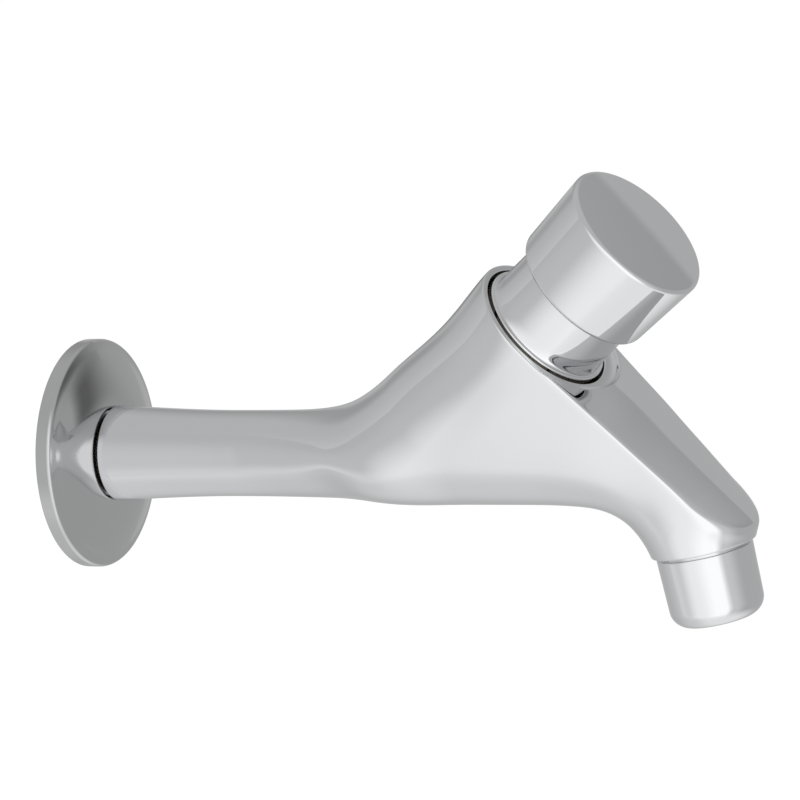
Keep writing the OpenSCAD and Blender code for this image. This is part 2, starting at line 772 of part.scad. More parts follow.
// Tapered cap with a threaded boss inside
module push_button() {
    top_r = button_d / 2;
    inner_top_h = button_top_h - button_top;
    inner_top_r = top_r - button_edge_r - 0.4;
    side_top_h = button_top_h - button_dome - button_edge_r;
    dome_steps = 6;
    top_edge = [for (turn = [0 : 15 : 90])
        [top_r - button_edge_r + button_edge_r * cos(turn), side_top_h + button_edge_r * sin(turn)]];
    dome = [for (i = [1 : dome_steps])
        let(u = i / dome_steps)
        [(top_r - button_edge_r) * (1 - u), button_top_h - button_dome * (1 - u) * (1 - u)]];
    rim_edge = [for (turn = [270 : 15 : 345])
        [rim_r - rim_edge_r + rim_edge_r * cos(turn), rim_h + rim_edge_r + rim_edge_r * sin(turn)]];
    color("silver") along_housing(0) difference() {
        union() {
            rotate_extrude() polygon(concat(
                [[rim_bore_r, rim_h + rim_edge_r], [max(rim_bore_r, rim_r - rim_edge_r), rim_h]],
                [for (p = rim_edge) if (p.x > rim_bore_r + cut) p],
                top_edge, dome,
                [[0, inner_top_h], [inner_top_r, inner_top_h]]
            ));
            translate([0, 0, boss_low_h]) cylinder(r = boss_r, h = inner_top_h - boss_low_h + 1);
        }
        translate([0, 0, boss_low_h - 1])
            cylinder(r = stem_end_d / 2 + fit_gap, h = stem_top_h - boss_low_h + 1.5);
    }
}

// Nut that locks the button on the stem
module button_locknut() {
    color("goldenrod") along_housing(nut_low_h) hex_nut(stem_end_d / 2 + fit_gap, nut_h);
}

// Spindle: guided middle, thinner threaded ends
module stem() {
    color("lightsteelblue") along_housing(0) {
        translate([0, 0, stem_low_h]) cylinder(r = stem_end_d / 2, h = stem_top_h - stem_low_h);
        translate([0, 0, piston_top_h]) cylinder(r = stem_d / 2, h = nut_low_h - piston_top_h);
    }
}

// Dashpot piston with a groove for the cup seal and a bleed hole
module piston() {
    middle = piston_low_h + piston_h / 2;
    color("whitesmoke") along_housing(0) difference() {
        rotate_extrude() polygon([
            [stem_end_d / 2 + fit_gap, piston_low_h - spigot_h],
            [spigot_r, piston_low_h - spigot_h],
            [spigot_r, piston_low_h],
            [piston_r, piston_low_h],
            [piston_r, middle - cup_h / 2],
            [piston_r - cup_depth, middle - cup_h / 2],
            [piston_r - cup_depth, middle + cup_h / 2],
            [piston_r, middle + cup_h / 2],
            [piston_r, piston_top_h],
            [stem_end_d / 2 + fit_gap, piston_top_h]
        ]);
        translate([0, pin_orbit_r, piston_low_h - spigot_h - 1])
            cylinder(r = pin_r + free_gap, h = piston_h + spigot_h + 2);
    }
}

// Lip seal in the piston's groove
module cup_seal() {
    low = piston_low_h + piston_h / 2 - cup_h / 2 + fit_gap;
    high = low + cup_h - 2 * fit_gap;
    root_r = piston_r - cup_depth + fit_gap;
    color("dimgray") along_housing(0) rotate_extrude() polygon([
        [root_r, low],
        [piston_r - 0.3, low],
        [cylinder_d / 2 - running_gap, high],
        [cylinder_d / 2 - running_gap - 0.8, high],
        [root_r + 0.7, low + 1.2],
        [root_r, low + 1.2]
    ]);
}

// Spring clip under the piston
module piston_clip() {
    color("silver") along_housing(piston_low_h - spigot_h - clip_h)
        ring(pin_orbit_r - pin_r - free_gap, stem_end_d / 2 + fit_gap, clip_h - fit_gap);
}

// Valve washer, the cup that backs it, and its nut
module valve_washer() {
    color("dimgray") along_housing(disc_top_h)
        ring(washer_r, stem_end_d / 2 + fit_gap, washer_h);
}
module valve_disc() {
    color("goldenrod") along_housing(disc_low_h) difference() {
        cylinder(r = disc_r, h = disc_h);
        translate([0, 0, disc_h - disc_rim_h]) cylinder(r = washer_r + fit_gap, h = disc_h);
        translate([0, 0, -cut]) cylinder(r = stem_end_d / 2 + fit_gap, h = disc_h);
    }
}
module valve_nut() {
    color("goldenrod") along_housing(disc_low_h - valve_nut_h)
        hex_nut(stem_end_d / 2 + fit_gap, valve_nut_h);
}

// Nozzle shell with its threaded shank
module aerator_housing() {
    outer_r = nozzle_d / 2;
    foot_r = outer_r - nozzle_draft;
    skirt_top = nozzle_len - nozzle_line;
    edge = [for (turn = [270 : 15 : 360])
        [foot_r - nozzle_edge_r + nozzle_edge_r * cos(turn), nozzle_edge_r + nozzle_edge_r * sin(turn)]];
    color("silver") along_nozzle(0) rotate_extrude() polygon(concat(
        [[nozzle_lip_r, nozzle_lip_h], [nozzle_lip_r, 0.4],
         [max(nozzle_lip_r + 0.4, edge[0].x - 0.1), 0]],
        [for (p = edge) if (p.x > nozzle_lip_r + 0.5) p],
        [
            [outer_r, skirt_top - 0.3],
            [outer_r - 0.3, skirt_top],
            [nozzle_thread_d / 2 - fit_gap, skirt_top],
            [nozzle_thread_d / 2 - fit_gap, nozzle_top_z],
            [nozzle_bore_r, nozzle_top_z],
            [nozzle_bore_r, nozzle_lip_h]
        ]
    ));
}

// Flow straightener, screens and washer inside the nozzle
module aerator_insert() {
    insert_r = nozzle_bore_r - fit_gap;
    color("whitesmoke") along_nozzle(nozzle_lip_h) difference() {
        cylinder(r = insert_r, h = insert_top_z - nozzle_lip_h);
        translate([0, 0, -cut])
            hole_rings(insert_rings, (insert_r - 0.4) / (insert_rings + 0.5), insert_hole_d / 2, nozzle_top_z);
    }
}
module aerator_screens() {
    color("lightsteelblue") for (k = [0, 1])
        along_nozzle(insert_top_z + k * screen_h)
            cylinder(r = nozzle_bore_r - fit_gap, h = screen_h - 0.1);
}
module aerator_washer() {
    color("dimgray") along_nozzle(insert_top_z + 2 * screen_h)
        ring(nozzle_bore_r - fit_gap, nozzle_bore_r - 2.5, socket_top_z - fit_gap - insert_top_z - 2 * screen_h);
}

body();
wall_flange();
inlet_strainer();
flow_regulator();
bonnet();
bonnet_o_ring();
guide_bush();
stem_o_ring();
timing_pin();
cartridge_sleeve();
seat_carrier();
seat_o_ring();
return_spring();
push_button();
button_locknut();
stem();
piston();
cup_seal();
piston_clip();
valve_disc();
valve_washer();
valve_nut();
aerator_housing();
aerator_insert();
aerator_screens();
aerator_washer();
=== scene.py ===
"""Wall-mounted push timed tap in polished chrome, dressed round its CAD frame."""

import json
import math

import bpy
import numpy as np
from mathutils import Matrix, Vector


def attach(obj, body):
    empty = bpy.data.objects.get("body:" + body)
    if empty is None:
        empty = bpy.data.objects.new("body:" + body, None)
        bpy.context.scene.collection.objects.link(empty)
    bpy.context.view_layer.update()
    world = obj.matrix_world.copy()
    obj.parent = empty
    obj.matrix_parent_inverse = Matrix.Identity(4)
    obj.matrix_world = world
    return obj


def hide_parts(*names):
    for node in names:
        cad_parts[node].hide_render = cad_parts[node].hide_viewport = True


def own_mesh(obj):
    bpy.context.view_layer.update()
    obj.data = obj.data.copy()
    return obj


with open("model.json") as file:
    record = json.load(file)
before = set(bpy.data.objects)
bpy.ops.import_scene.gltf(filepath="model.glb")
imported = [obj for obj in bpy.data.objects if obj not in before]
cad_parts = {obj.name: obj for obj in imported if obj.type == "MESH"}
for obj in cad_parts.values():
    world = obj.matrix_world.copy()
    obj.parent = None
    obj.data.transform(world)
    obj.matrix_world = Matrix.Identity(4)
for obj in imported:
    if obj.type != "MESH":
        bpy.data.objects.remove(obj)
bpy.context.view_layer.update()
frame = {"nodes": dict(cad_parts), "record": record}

MM = 0.001
X_AXIS = np.array([1.0, 0.0, 0.0])
Y_AXIS = np.array([0.0, 1.0, 0.0])

# Sizes of the casting, in millimetres, measured as in the CAD source
CROSSING = np.array([95.4, 0.0, 0.0])
HOUSING_TILT = math.radians(40.73)
HOUSING_DIR = np.array([math.cos(HOUSING_TILT), 0.0, math.sin(HOUSING_TILT)])
SLOPE_DIR = np.array([math.sin(HOUSING_TILT), 0.0, -math.cos(HOUSING_TILT)])
HOUSING_R = 20.0
HOUSING_WAIST = 1.2
HOUSING_WAIST_H = 29.9
HOUSING_WAIST_SPAN = 20.0
WAIST_END_T = 10.0
WAIST_FADE = 20.0
HOUSING_FOOT_H = -12.8
MOUTH_H = 49.9
SCOOP_R = 21.6
SCOOP_FILLET = 3.0

TUBE_START_X = 8.5
TUBE_END_R = 12.2
TUBE_WAIST_R = 10.9
TUBE_WAIST_X = 42.0
TUBE_FLARE_POWER = 1.7
BELLY_RISE_X = 50.0
BELLY_TUBE_R = 11.1
BELLY_TUBE_END_X = 150.0
BELLY_TUBE_FADE = 20.0
BELLY_DROP = 8.8
TUBE_SPREAD = 0.42
SPREAD_START_X = 46.0
SPREAD_PEAK_X = 84.0
SPREAD_FALL = 26.0

SPOUT_START_T = 8.0
SPOUT_LIFT = 1.2
SPOUT_RISE = 0.076
SPOUT_CROWN = 1.7
CROWN_AT_MOUTH = 0.15
NOSE_REACH = np.array([73.6, 0.0, -16.4])
NOSE = CROSSING + NOSE_REACH
NOSE_R = 12.5
NOSE_SETBACK = 2.1
NOSE_T = float(NOSE_REACH @ SLOPE_DIR) - NOSE_SETBACK
NOSE_HALF_W = 13.8
NOSE_EDGE_START_T = 44.0
NOSE_EDGE_SPAN = 24.0
SPOUT_HALF_DEPTH = 13.0
SPOUT_UNDER_H = float(NOSE_REACH @ HOUSING_DIR) - SPOUT_HALF_DEPTH

NOZZLE_TILT = math.radians(7.5)
NOZZLE_DIR = np.array([math.sin(NOZZLE_TILT), 0.0, -math.cos(NOZZLE_TILT)])
NOZZLE_LEN = 18.8
NOZZLE_R = 12.25
JOINT_DROP = 7.3
JOINT = NOSE + JOINT_DROP * NOZZLE_DIR
NOZZLE_FOOT = JOINT + NOZZLE_LEN * NOZZLE_DIR

# Blend widths of the casting
BLEND_CORNER = 15.5
BLEND_BELLY = 24.4
BLEND_FOOT = 16.0
BLEND_EDGE = 2.0
BLEND_NOSE_EDGE = 4.0
BLEND_NOSE = 8.0
BLEND_TUBE = 15.0
EDGE_SOFTNESS = 0.8
# Plating covers the skin and the first of each bore; deeper bore faces are left unplated and coloured dark
# as painted shade
PLATED_DEPTH = 0.35

# Bores of the casting, from the floor of the housing up and then the other ends of the waterway
CHAMBER_FLOOR_H = 1.55
CHAMBER_R = 10.5
SEAT_H = 20.0
CARTRIDGE_R = 13.5
SHANK_END_H = 35.9
SHANK_R = 15.0
SEAL_FLOOR_H = 46.45
SEAL_R = 16.7
RING_FLOOR_H = 48.2
MOUTH_R = 18.3
MOUTH_EDGE_R = 18.8
MOUTH_CHAMFER = 0.25
MOUTH_TOOL_H = 62.0
INLET_R = 6.5
OUTLET_R = 5.5
PORT_H = 30.0
OUTLET_END = 7.0
SOCKET_R = 11.0
SOCKET_DEPTH = 8.0
TOOL_OVERRUN = 1.0
TOOL_SEGMENTS = 128

# Mesh density, and the box in which the skin is sought
SKIN_CELL = 0.55
SKIN_LOW = np.array([TUBE_START_X - 2, 0.0, -32.0])
SKIN_HIGH = np.array([188.0, 22.5, 52.0])
SETTLING_ROUNDS = 8
LAYING_ROUNDS = 3
SLOPE_STEP = 0.02
LEAST_STEEPNESS = 0.2
REFINING_ROUNDS = 2
LEAST_TURN = math.radians(12)
LEAST_EDGE = 0.12
SEGMENTS = 192

# Shading of the casting
SHADING_STEP = 0.03
SKIN_TOLERANCE = 0.03
SKIN_COSINE = 0.8
BORE_EDGE_ANGLE = math.radians(25)
THREAD_EDGE_ANGLE = math.radians(50)


def smooth_min(a, b, width):
    """Least of two distances, with the corner blended over a width."""
    share = np.maximum(width - np.abs(a - b), 0) / width
    return np.minimum(a, b) - share**3 * width / 6


def smooth_max(a, b, width):
    """Greatest of two distances, with the corner blended over a width."""
    return -smooth_min(-a, -b, width)


def ease(u):
    """Smooth step from 0 to 1."""
    u = np.clip(u, 0, 1)
    return u * u * (3 - 2 * u)


def tube_radius(x):
    """Radius of the waisted tube."""
    toward_wall = np.clip((TUBE_WAIST_X - x) / (TUBE_WAIST_X - TUBE_START_X), 0, 1)
    toward_belly = ease((x - BELLY_RISE_X) / (CROSSING[0] - TUBE_WAIST_X))
    flare = (TUBE_END_R - TUBE_WAIST_R) * toward_wall**TUBE_FLARE_POWER
    return TUBE_WAIST_R + flare + (BELLY_TUBE_R - TUBE_WAIST_R) * toward_belly


def tube_stretch(x):
    """Half width of the tube's section as a multiple of its half height."""
    rise = ease((x - SPREAD_START_X) / (SPREAD_PEAK_X - SPREAD_START_X))
    return 1 + TUBE_SPREAD * rise * ease((SPREAD_PEAK_X + SPREAD_FALL - x) / SPREAD_FALL)


def wrap_gap(t, side, t1, r1, t2, r2):
    """Distance, in the slope plane, to the outline that wraps two circles."""
    length = t2 - t1
    sine = (r1 - r2) / length
    cosine = math.sqrt(1 - sine * sine)
    along = (t - t1) * cosine - side * sine
    straight = (t - t1) * sine + side * cosine - r1
    first = np.hypot(t - t1, side) - r1
    last = np.hypot(t - t2, side) - r2
    return np.where(along < 0, first, np.where(along > length * cosine, last, straight))


def spout_top(t, side):
    """Height of the spout's crowned top over the slope plane."""
    share = np.clip(t / NOSE_T, 0, 1)
    half_w = HOUSING_R + (NOSE_HALF_W - HOUSING_R) * share
    crown = SPOUT_CROWN * (CROWN_AT_MOUTH + (1 - CROWN_AT_MOUTH) * share)
    rise = SPOUT_RISE * np.maximum(t - SPOUT_START_T, 0)
    return MOUTH_H + SPOUT_LIFT + rise - crown * (side / half_w) ** 2


def skin_gap(p):
    """Distance to the outer skin of the casting, below zero inside, in millimetres."""
    x, side, z = p[..., 0], np.abs(p[..., 1]), p[..., 2]
    q = p - CROSSING
    h = q @ HOUSING_DIR
    t = q @ SLOPE_DIR
    tube = np.hypot(side / tube_stretch(x), z) - tube_radius(x)
    tube = smooth_max(tube, TUBE_START_X - x, EDGE_SOFTNESS)
    tube = smooth_max(tube, x - BELLY_TUBE_END_X, BELLY_TUBE_FADE)
    pinch = HOUSING_WAIST * np.clip(1 - ((h - HOUSING_WAIST_H) / HOUSING_WAIST_SPAN) ** 2, 0, 1) ** 2
    pinch = pinch * ease((WAIST_END_T - t) / WAIST_FADE)
    flank = wrap_gap(t, side, 0.0, HOUSING_R, NOSE_T, NOSE_HALF_W) + pinch
    under = smooth_min(-z - BELLY_DROP, SPOUT_UNDER_H - h, BLEND_CORNER)
    casting = smooth_max(flank, under, BLEND_BELLY)
    casting = smooth_max(casting, HOUSING_FOOT_H - h, BLEND_FOOT)
    nose_q = p - NOSE
    nose_along = np.clip(nose_q @ NOZZLE_DIR, 0, NOZZLE_LEN)
    neck = np.linalg.norm(nose_q - nose_along[..., None] * NOZZLE_DIR, axis=-1) - NOSE_R
    casting = smooth_min(casting, neck, BLEND_NOSE)
    toward_nose = ease((t - NOSE_EDGE_START_T) / NOSE_EDGE_SPAN)
    edge = BLEND_EDGE + (BLEND_NOSE_EDGE - BLEND_EDGE) * toward_nose
    casting = smooth_max(casting, h - spout_top(t, side), edge)
    casting = smooth_min(casting, tube, BLEND_TUBE)
    scoop = smooth_max(np.hypot(t, side) - SCOOP_R, MOUTH_H - h, SCOOP_FILLET)
    casting = smooth_max(casting, -scoop, EDGE_SOFTNESS)
    joint_face = (p - JOINT) @ NOZZLE_DIR
    return smooth_max(casting, joint_face, EDGE_SOFTNESS)


def gradient(gap, p, step):
    """Slope of a distance function at each point."""
    slopes = []
    for k in range(3):
        shift = np.zeros(3)
        shift[k] = step
        slopes.append((gap(p + shift) - gap(p - shift)) / (2 * step))
    return np.stack(slopes, -1)


def unit(v):
    """Vectors of length 1."""
    return v / np.maximum(np.linalg.norm(v, axis=-1, keepdims=True), 1e-12)


def surface_net(gap, low, high, cell):
    """Quads on the zero surface of a distance function that is symmetric about y = 0."""
    xs = np.arange(low[0], high[0], cell)
    half = np.arange(cell / 2, high[1], cell)
    zs = np.arange(low[2], high[2], cell)
    values = np.empty((len(xs), len(half), len(zs)), np.float32)
    for i, x in enumerate(xs):
        grid = np.stack(np.meshgrid([x], half, zs, indexing="ij"), -1)
        values[i] = gap(grid)[0]
    values = np.concatenate([values[:, ::-1], values], 1)
    origin = np.array([xs[0], -half[-1], zs[0]])
    inside = values < 0
    cells = [slice(None, -1), slice(1, None)]
    corner_sum = sum(
        inside[a, b, c].astype(np.int8) for a in cells for b in cells for c in cells
    )
    active = (corner_sum > 0) & (corner_sum < 8)
    number = np.full(active.shape, -1, np.int64)
    number[active] = np.arange(active.sum())
    total = np.zeros((active.sum(), 3))
    count = np.zeros(active.sum())
    quads = []
    for axis in range(3):
        step = np.zeros(3, int)
        step[axis] = 1
        first = [slice(None)] * 3
        second = [slice(None)] * 3
        first[axis] = slice(None, -1)
        second[axis] = slice(1, None)
        start = inside[tuple(first)]
        at = np.argwhere(start != inside[tuple(second)])
        a = values[tuple(at.T)]
        b = values[tuple((at + step).T)]
        point = origin + cell * (at + step * (a / (a - b))[:, None])
        u, v = [k for k in range(3) if k != axis]
        if axis == 1:
            u, v = v, u
        ring = []
        for du, dv in ((0, 0), (1, 0), (1, 1), (0, 1)):
            corner = at.copy()
            corner[:, u] -= 1 - du
            corner[:, v] -= 1 - dv
            ids = number[tuple(corner.T)]
            np.add.at(total, ids, point)
            np.add.at(count, ids, 1)
            ring.append(ids)
        ring = np.stack(ring, 1)
        leaving = start[tuple(at.T)]
        quads.append(np.where(leaving[:, None], ring, ring[:, ::-1]))
    return total / count[:, None], np.concatenate(quads)


def lay_on(gap, points):
    """Moves points one step toward the zero of a distance function."""
    slope = gradient(gap, points, SLOPE_STEP)
    steepness = np.maximum((slope * slope).sum(-1), LEAST_STEEPNESS)
    return points - (gap(points) / steepness)[:, None] * slope


def settle(gap, points, quads, rounds):
    """Evens the spacing of a surface's points and lays them on the zero of the distance function."""
    edges = np.concatenate([quads[:, [k, (k + 1) % 4]] for k in range(4)])
    for step in range(rounds):
        middle = np.zeros_like(points)
        number = np.zeros(len(points))
        np.add.at(middle, edges[:, 0], points[edges[:, 1]])
        np.add.at(number, edges[:, 0], 1)
        if step < rounds - LAYING_ROUNDS:
            points = points + 0.5 * (middle / number[:, None] - points)
        points = lay_on(gap, points)
    return points


def refine(gap, points, triangles, least_turn, least_edge):
    """Splits the edges across which the surface turns sharply, and lays their middles on it."""
    normals = unit(gradient(gap, points, SLOPE_STEP))
    pairs = np.sort(np.concatenate([triangles[:, [k, (k + 1) % 3]] for k in range(3)]), axis=1)
    edges, index = np.unique(pairs, axis=0, return_inverse=True)
    index = index.reshape(3, -1).T
    ends = points[edges]
    cosine = (normals[edges[:, 0]] * normals[edges[:, 1]]).sum(-1)
    length = np.linalg.norm(ends[:, 0] - ends[:, 1], axis=1)
    split = (cosine < math.cos(least_turn)) & (length > least_edge)
    two = split[index].sum(1) == 2
    while two.any():
        split[index[two].ravel()] = True
        two = split[index].sum(1) == 2
    middle = ends[split].mean(1)
    for _ in range(LAYING_ROUNDS):
        middle = lay_on(gap, middle)
    number = np.full(len(edges), -1)
    number[split] = len(points) + np.arange(len(middle))
    marks, new = split[index], number[index]
    whole = triangles[~marks.any(1)]
    (a, b, c), (ab, bc, ca) = triangles[marks.all(1)].T, new[marks.all(1)].T
    pieces = [whole]
    pieces += [np.stack(corners, 1) for corners in ((a, ab, ca), (ab, b, bc), (ca, bc, c), (ab, bc, ca))]
    for k in range(3):
        single = marks[:, k] & (marks.sum(1) == 1)
        first, second, third = (triangles[single, (k + step) % 3] for step in range(3))
        halfway = new[single, k]
        pieces += [np.stack((first, halfway, third), 1), np.stack((halfway, second, third), 1)]
    return np.concatenate([points, middle]), np.concatenate(pieces)


def mesh_object(name, points, faces):
    """Object from points in millimetres."""
    mesh = bpy.data.meshes.new(name)
    mesh.from_pydata((np.asarray(points) * MM).tolist(), [], [list(map(int, f)) for f in faces])
    mesh.shade_smooth()
    piece = bpy.data.objects.new(name, mesh)
    bpy.context.scene.collection.objects.link(piece)
    return piece


def rounded(corners, steps=8):
    """Outline of (radius, height, rounding) corners: rows of a point and its normals before and after.

    The outline runs with its material on the left. A rounding of None marks a point of a smooth curve.
    """
    flat = [np.array(c[:2], float) for c in corners]
    rows = []
    for i, corner in enumerate(corners):
        before = unit(flat[i] - flat[i - 1])
        after = unit(flat[(i + 1) % len(flat)] - flat[i])
        normal_in = np.array([before[1], -before[0]])
        normal_out = np.array([after[1], -after[0]])
        rounding = corner[2] if len(corner) > 2 else 0
        if rounding is None:
            mean = unit(normal_in + normal_out)
            rows.append((flat[i], mean, mean))
        elif rounding == 0:
            rows.append((flat[i], normal_in, normal_out))
        else:
            turn = math.atan2(
                before[0] * after[1] - before[1] * after[0], float(before @ after)
            )
            side = 1 if turn > 0 else -1
            inward = unit(after - before)
            centre = flat[i] + inward * rounding / math.cos(turn / 2)
            for k in range(steps + 1):
                angle = turn * k / steps
                normal = np.array([
                    normal_in[0] * math.cos(angle) - normal_in[1] * math.sin(angle),
                    normal_in[0] * math.sin(angle) + normal_in[1] * math.cos(angle),
                ])
                rows.append((centre + side * rounding * normal, normal, normal))
    return rows


def revolve(name, rows, origin, axis, segments=SEGMENTS, shift=None):
    """Turned piece: an outline swept round an axis. shift(radius, height, turns) adds to the radius."""
    across = np.cross(Y_AXIS, axis)
    turns = 2 * math.pi * np.arange(segments) / segments
    outward = np.cos(turns)[:, None] * across + np.sin(turns)[:, None] * Y_AXIS
    points, rings = [], []
    for (radius, height), _, _ in rows:
        first = sum(len(p) for p in points)
        if radius < 1e-6:
            points.append([origin + height * axis])
            rings.append([first] * segments)
        else:
            reach = np.full(segments, radius)
            if shift is not None:
                reach = reach + shift(radius, height, turns)
            points.append(origin + height * axis + reach[:, None] * outward)
            rings.append(list(range(first, first + segments)))
    faces, normals = [], []
    for i in range(len(rows)):
        j = (i + 1) % len(rows)
        if rings[i][0] == rings[i][1] and rings[j][0] == rings[j][1]:
            continue
        low = rows[i][2][0] * outward + rows[i][2][1] * axis
        high = rows[j][1][0] * outward + rows[j][1][1] * axis
        for k in range(segments):
            m = (k + 1) % segments
            face = [rings[i][k], rings[i][m], rings[j][m], rings[j][k]]
            normal = [low[k], low[m], high[m], high[k]]
            if face[0] == face[1]:
                face, normal = face[1:], normal[1:]
            elif face[2] == face[3]:
                face, normal = face[:3], normal[:3]
            faces.append(face)
            normals.extend(normal)
    piece = mesh_object(name, np.concatenate([np.asarray(p) for p in points]), faces)
    if shift is None:
        piece.data.normals_split_custom_set([tuple(n) for n in normals])
    else:
        piece.data.set_sharp_from_angle(angle=THREAD_EDGE_ANGLE)
    return piece


# Casting
def cutter(name, outline, origin, axis):
    """Turned tool with sharp corners."""
    return revolve(name, rounded(outline), origin, axis, segments=TOOL_SEGMENTS)


def drill(name, radius, start, end, origin, axis):
    """Plain round tool from one distance to another along an axis."""
    return cutter(name, [(0, start), (radius, start), (radius, end), (0, end)], origin, axis)


def casting_tools():
    """Bores of the casting: the stepped mouth, the inlet, the outlet passage and the nozzle's socket."""
    mouth = [
        (0, CHAMBER_FLOOR_H), (CHAMBER_R, CHAMBER_FLOOR_H),
        (CHAMBER_R, SEAT_H), (CARTRIDGE_R, SEAT_H),
        (CARTRIDGE_R, SHANK_END_H), (SHANK_R, SHANK_END_H),
        (SHANK_R, SEAL_FLOOR_H), (SEAL_R, SEAL_FLOOR_H),
        (SEAL_R, RING_FLOOR_H), (MOUTH_R, RING_FLOOR_H),
        (MOUTH_R, MOUTH_H - MOUTH_CHAMFER), (MOUTH_EDGE_R, MOUTH_H + MOUTH_CHAMFER),
        (MOUTH_EDGE_R, MOUTH_TOOL_H), (0, MOUTH_TOOL_H),
    ]
    chamber_x = CROSSING[0] + CHAMBER_FLOOR_H * HOUSING_DIR[0]
    inlet_end = chamber_x + INLET_R * math.tan(HOUSING_TILT)
    port = CROSSING + PORT_H * HOUSING_DIR
    passage = JOINT - OUTLET_END * NOZZLE_DIR - port
    length = float(np.linalg.norm(passage))
    return [
        cutter("mouth_tool", mouth, CROSSING, HOUSING_DIR),
        drill("inlet_tool", INLET_R, 0, inlet_end, np.zeros(3), X_AXIS),
        drill("outlet_tool", OUTLET_R, 0, length, port, passage / length),
        drill("socket_tool", SOCKET_R, -TOOL_OVERRUN, SOCKET_DEPTH, JOINT, -NOZZLE_DIR),
    ]


def cut(piece, tools):
    """Takes the tools out of a piece."""
    for tool in tools:
        change = piece.modifiers.new(tool.name, "BOOLEAN")
        change.operation = "DIFFERENCE"
        change.solver = "MANIFOLD"
        change.object = tool
    graph = bpy.context.evaluated_depsgraph_get()
    result = bpy.data.meshes.new_from_object(piece.evaluated_get(graph))
    piece.modifiers.clear()
    result.materials.clear()
    piece.data = result
    for tool in tools:
        bpy.data.objects.remove(tool)


def shade_by_field(piece, gap):
    """Shades the faces on a distance function's surface by its slope, and the bores as turned."""
    mesh = piece.data
    points = np.empty(len(mesh.vertices) * 3)
    mesh.vertices.foreach_get("co", points)
    points = points.reshape(-1, 3) / MM
    slope = unit(gradient(gap, points, SHADING_STEP))
    on_skin = np.abs(gap(points)) < SKIN_TOLERANCE
    corner_vertex = np.empty(len(mesh.loops), int)
    mesh.loops.foreach_get("vertex_index", corner_vertex)
    face_normal = np.empty(len(mesh.polygons) * 3)
    mesh.polygons.foreach_get("normal", face_normal)
    sizes = np.empty(len(mesh.polygons), int)
    mesh.polygons.foreach_get("loop_total", sizes)
    flat = np.repeat(face_normal.reshape(-1, 3), sizes, 0)
    smooth = slope[corner_vertex]
    follows = on_skin[corner_vertex] & ((smooth * flat).sum(-1) > SKIN_COSINE)
    mesh.shade_smooth()
    mesh.set_sharp_from_angle(angle=BORE_EDGE_ANGLE)
    turned = np.empty(len(mesh.loops) * 3)
    mesh.corner_normals.foreach_get("vector", turned)
    normals = np.where(follows[:, None], smooth, turned.reshape(-1, 3))
    mesh.normals_split_custom_set(normals.tolist())


def mark_shaded_bores(piece, gap):
    """Marks the faces that lie under the casting's skin as unplated bore; their dark colour in the
    material is painted shade.
    """
    mesh = piece.data
    middles = np.empty(len(mesh.polygons) * 3)
    mesh.polygons.foreach_get("center", middles)
    depth = -gap(middles.reshape(-1, 3) / MM)
    mark = mesh.attributes.new("machined", "FLOAT", "FACE")
    mark.data.foreach_set("value", (depth > PLATED_DEPTH).astype(np.float32))


def make_casting():
    """Tube, housing and spout in one skin, with its bores."""
    points, quads = surface_net(skin_gap, SKIN_LOW, SKIN_HIGH, SKIN_CELL)
    points = settle(skin_gap, points, quads, SETTLING_ROUNDS)
    triangles = np.concatenate([quads[:, [0, 1, 2]], quads[:, [0, 2, 3]]])
    for _ in range(REFINING_ROUNDS):
        points, triangles = refine(skin_gap, points, triangles, LEAST_TURN, LEAST_EDGE)
    piece = mesh_object("body_casting", points, triangles)
    cut(piece, casting_tools())
    shade_by_field(piece, skin_gap)
    mark_shaded_bores(piece, skin_gap)
    return piece


body_casting = make_casting()
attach(body_casting, "tap")
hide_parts("body")


# Threaded tail behind the wall
THREAD_R = 10.4775
THREAD_PITCH = 25.4 / 14
THREAD_DEPTH = 1.1
THREAD_LEN = 9.0
TAIL_DEPTH = 6.0
TAIL_BORE_R = THREAD_R - 2.5
TAIL_BORE_EDGE = 0.3
THREAD_STEP = 0.1
THREAD_FIRST_STEP = 4
THREAD_LEAD_R = 0.9
THREAD_LEAD_H = 0.35
THREAD_CREST = 0.15
THREAD_FLANK = 2.6
THREAD_RUN_IN = 1.2
THREAD_RUN_OUT = 1.5
SHANK_RELIEF = 0.3
SHANK_RELIEF_H = 0.05
TAIL_END_X = TUBE_START_X + 1


def thread_shift(radius, height, turns):
    """Cut of the helical thread below the outside radius."""
    if radius < THREAD_R - SHANK_RELIEF / 2 or height > 0:
        return np.zeros_like(turns)
    phase = (height / THREAD_PITCH + turns / (2 * math.pi)) % 1
    flank = np.clip(THREAD_FLANK * np.abs(phase - 0.5) - THREAD_CREST, 0, 1)
    depth = THREAD_DEPTH * ease(flank)
    run_in = ease((height + THREAD_LEN) / THREAD_RUN_IN)
    run_out = ease(-height / THREAD_RUN_OUT)
    return -depth * run_in * run_out


def make_tail():
    """Threaded tail. Its shank behind the tube is left unplated, in the same dark colour as painted shade,
    and the thread is plated.
    """
    shoulder = TAIL_DEPTH - THREAD_LEN
    steps = range(THREAD_FIRST_STEP, round(THREAD_LEN / THREAD_STEP))
    outline = [(INLET_R, TAIL_END_X), (INLET_R, shoulder)]
    outline += [(TAIL_BORE_R, shoulder), (TAIL_BORE_R, -THREAD_LEN, TAIL_BORE_EDGE)]
    outline += [(THREAD_R - THREAD_LEAD_R, -THREAD_LEN), (THREAD_R, -THREAD_LEN + THREAD_LEAD_H)]
    outline += [(THREAD_R, -THREAD_LEN + THREAD_STEP * k, None) for k in steps]
    outline += [(THREAD_R - SHANK_RELIEF, SHANK_RELIEF_H), (THREAD_R - SHANK_RELIEF, TAIL_END_X)]
    piece = revolve("inlet_tail", rounded(outline), np.zeros(3), X_AXIS, shift=thread_shift)
    mark = piece.data.attributes.new("machined", "FLOAT", "FACE")
    for face in piece.data.polygons:
        mark.data[face.index].value = float(face.center.x > 0)
    return piece


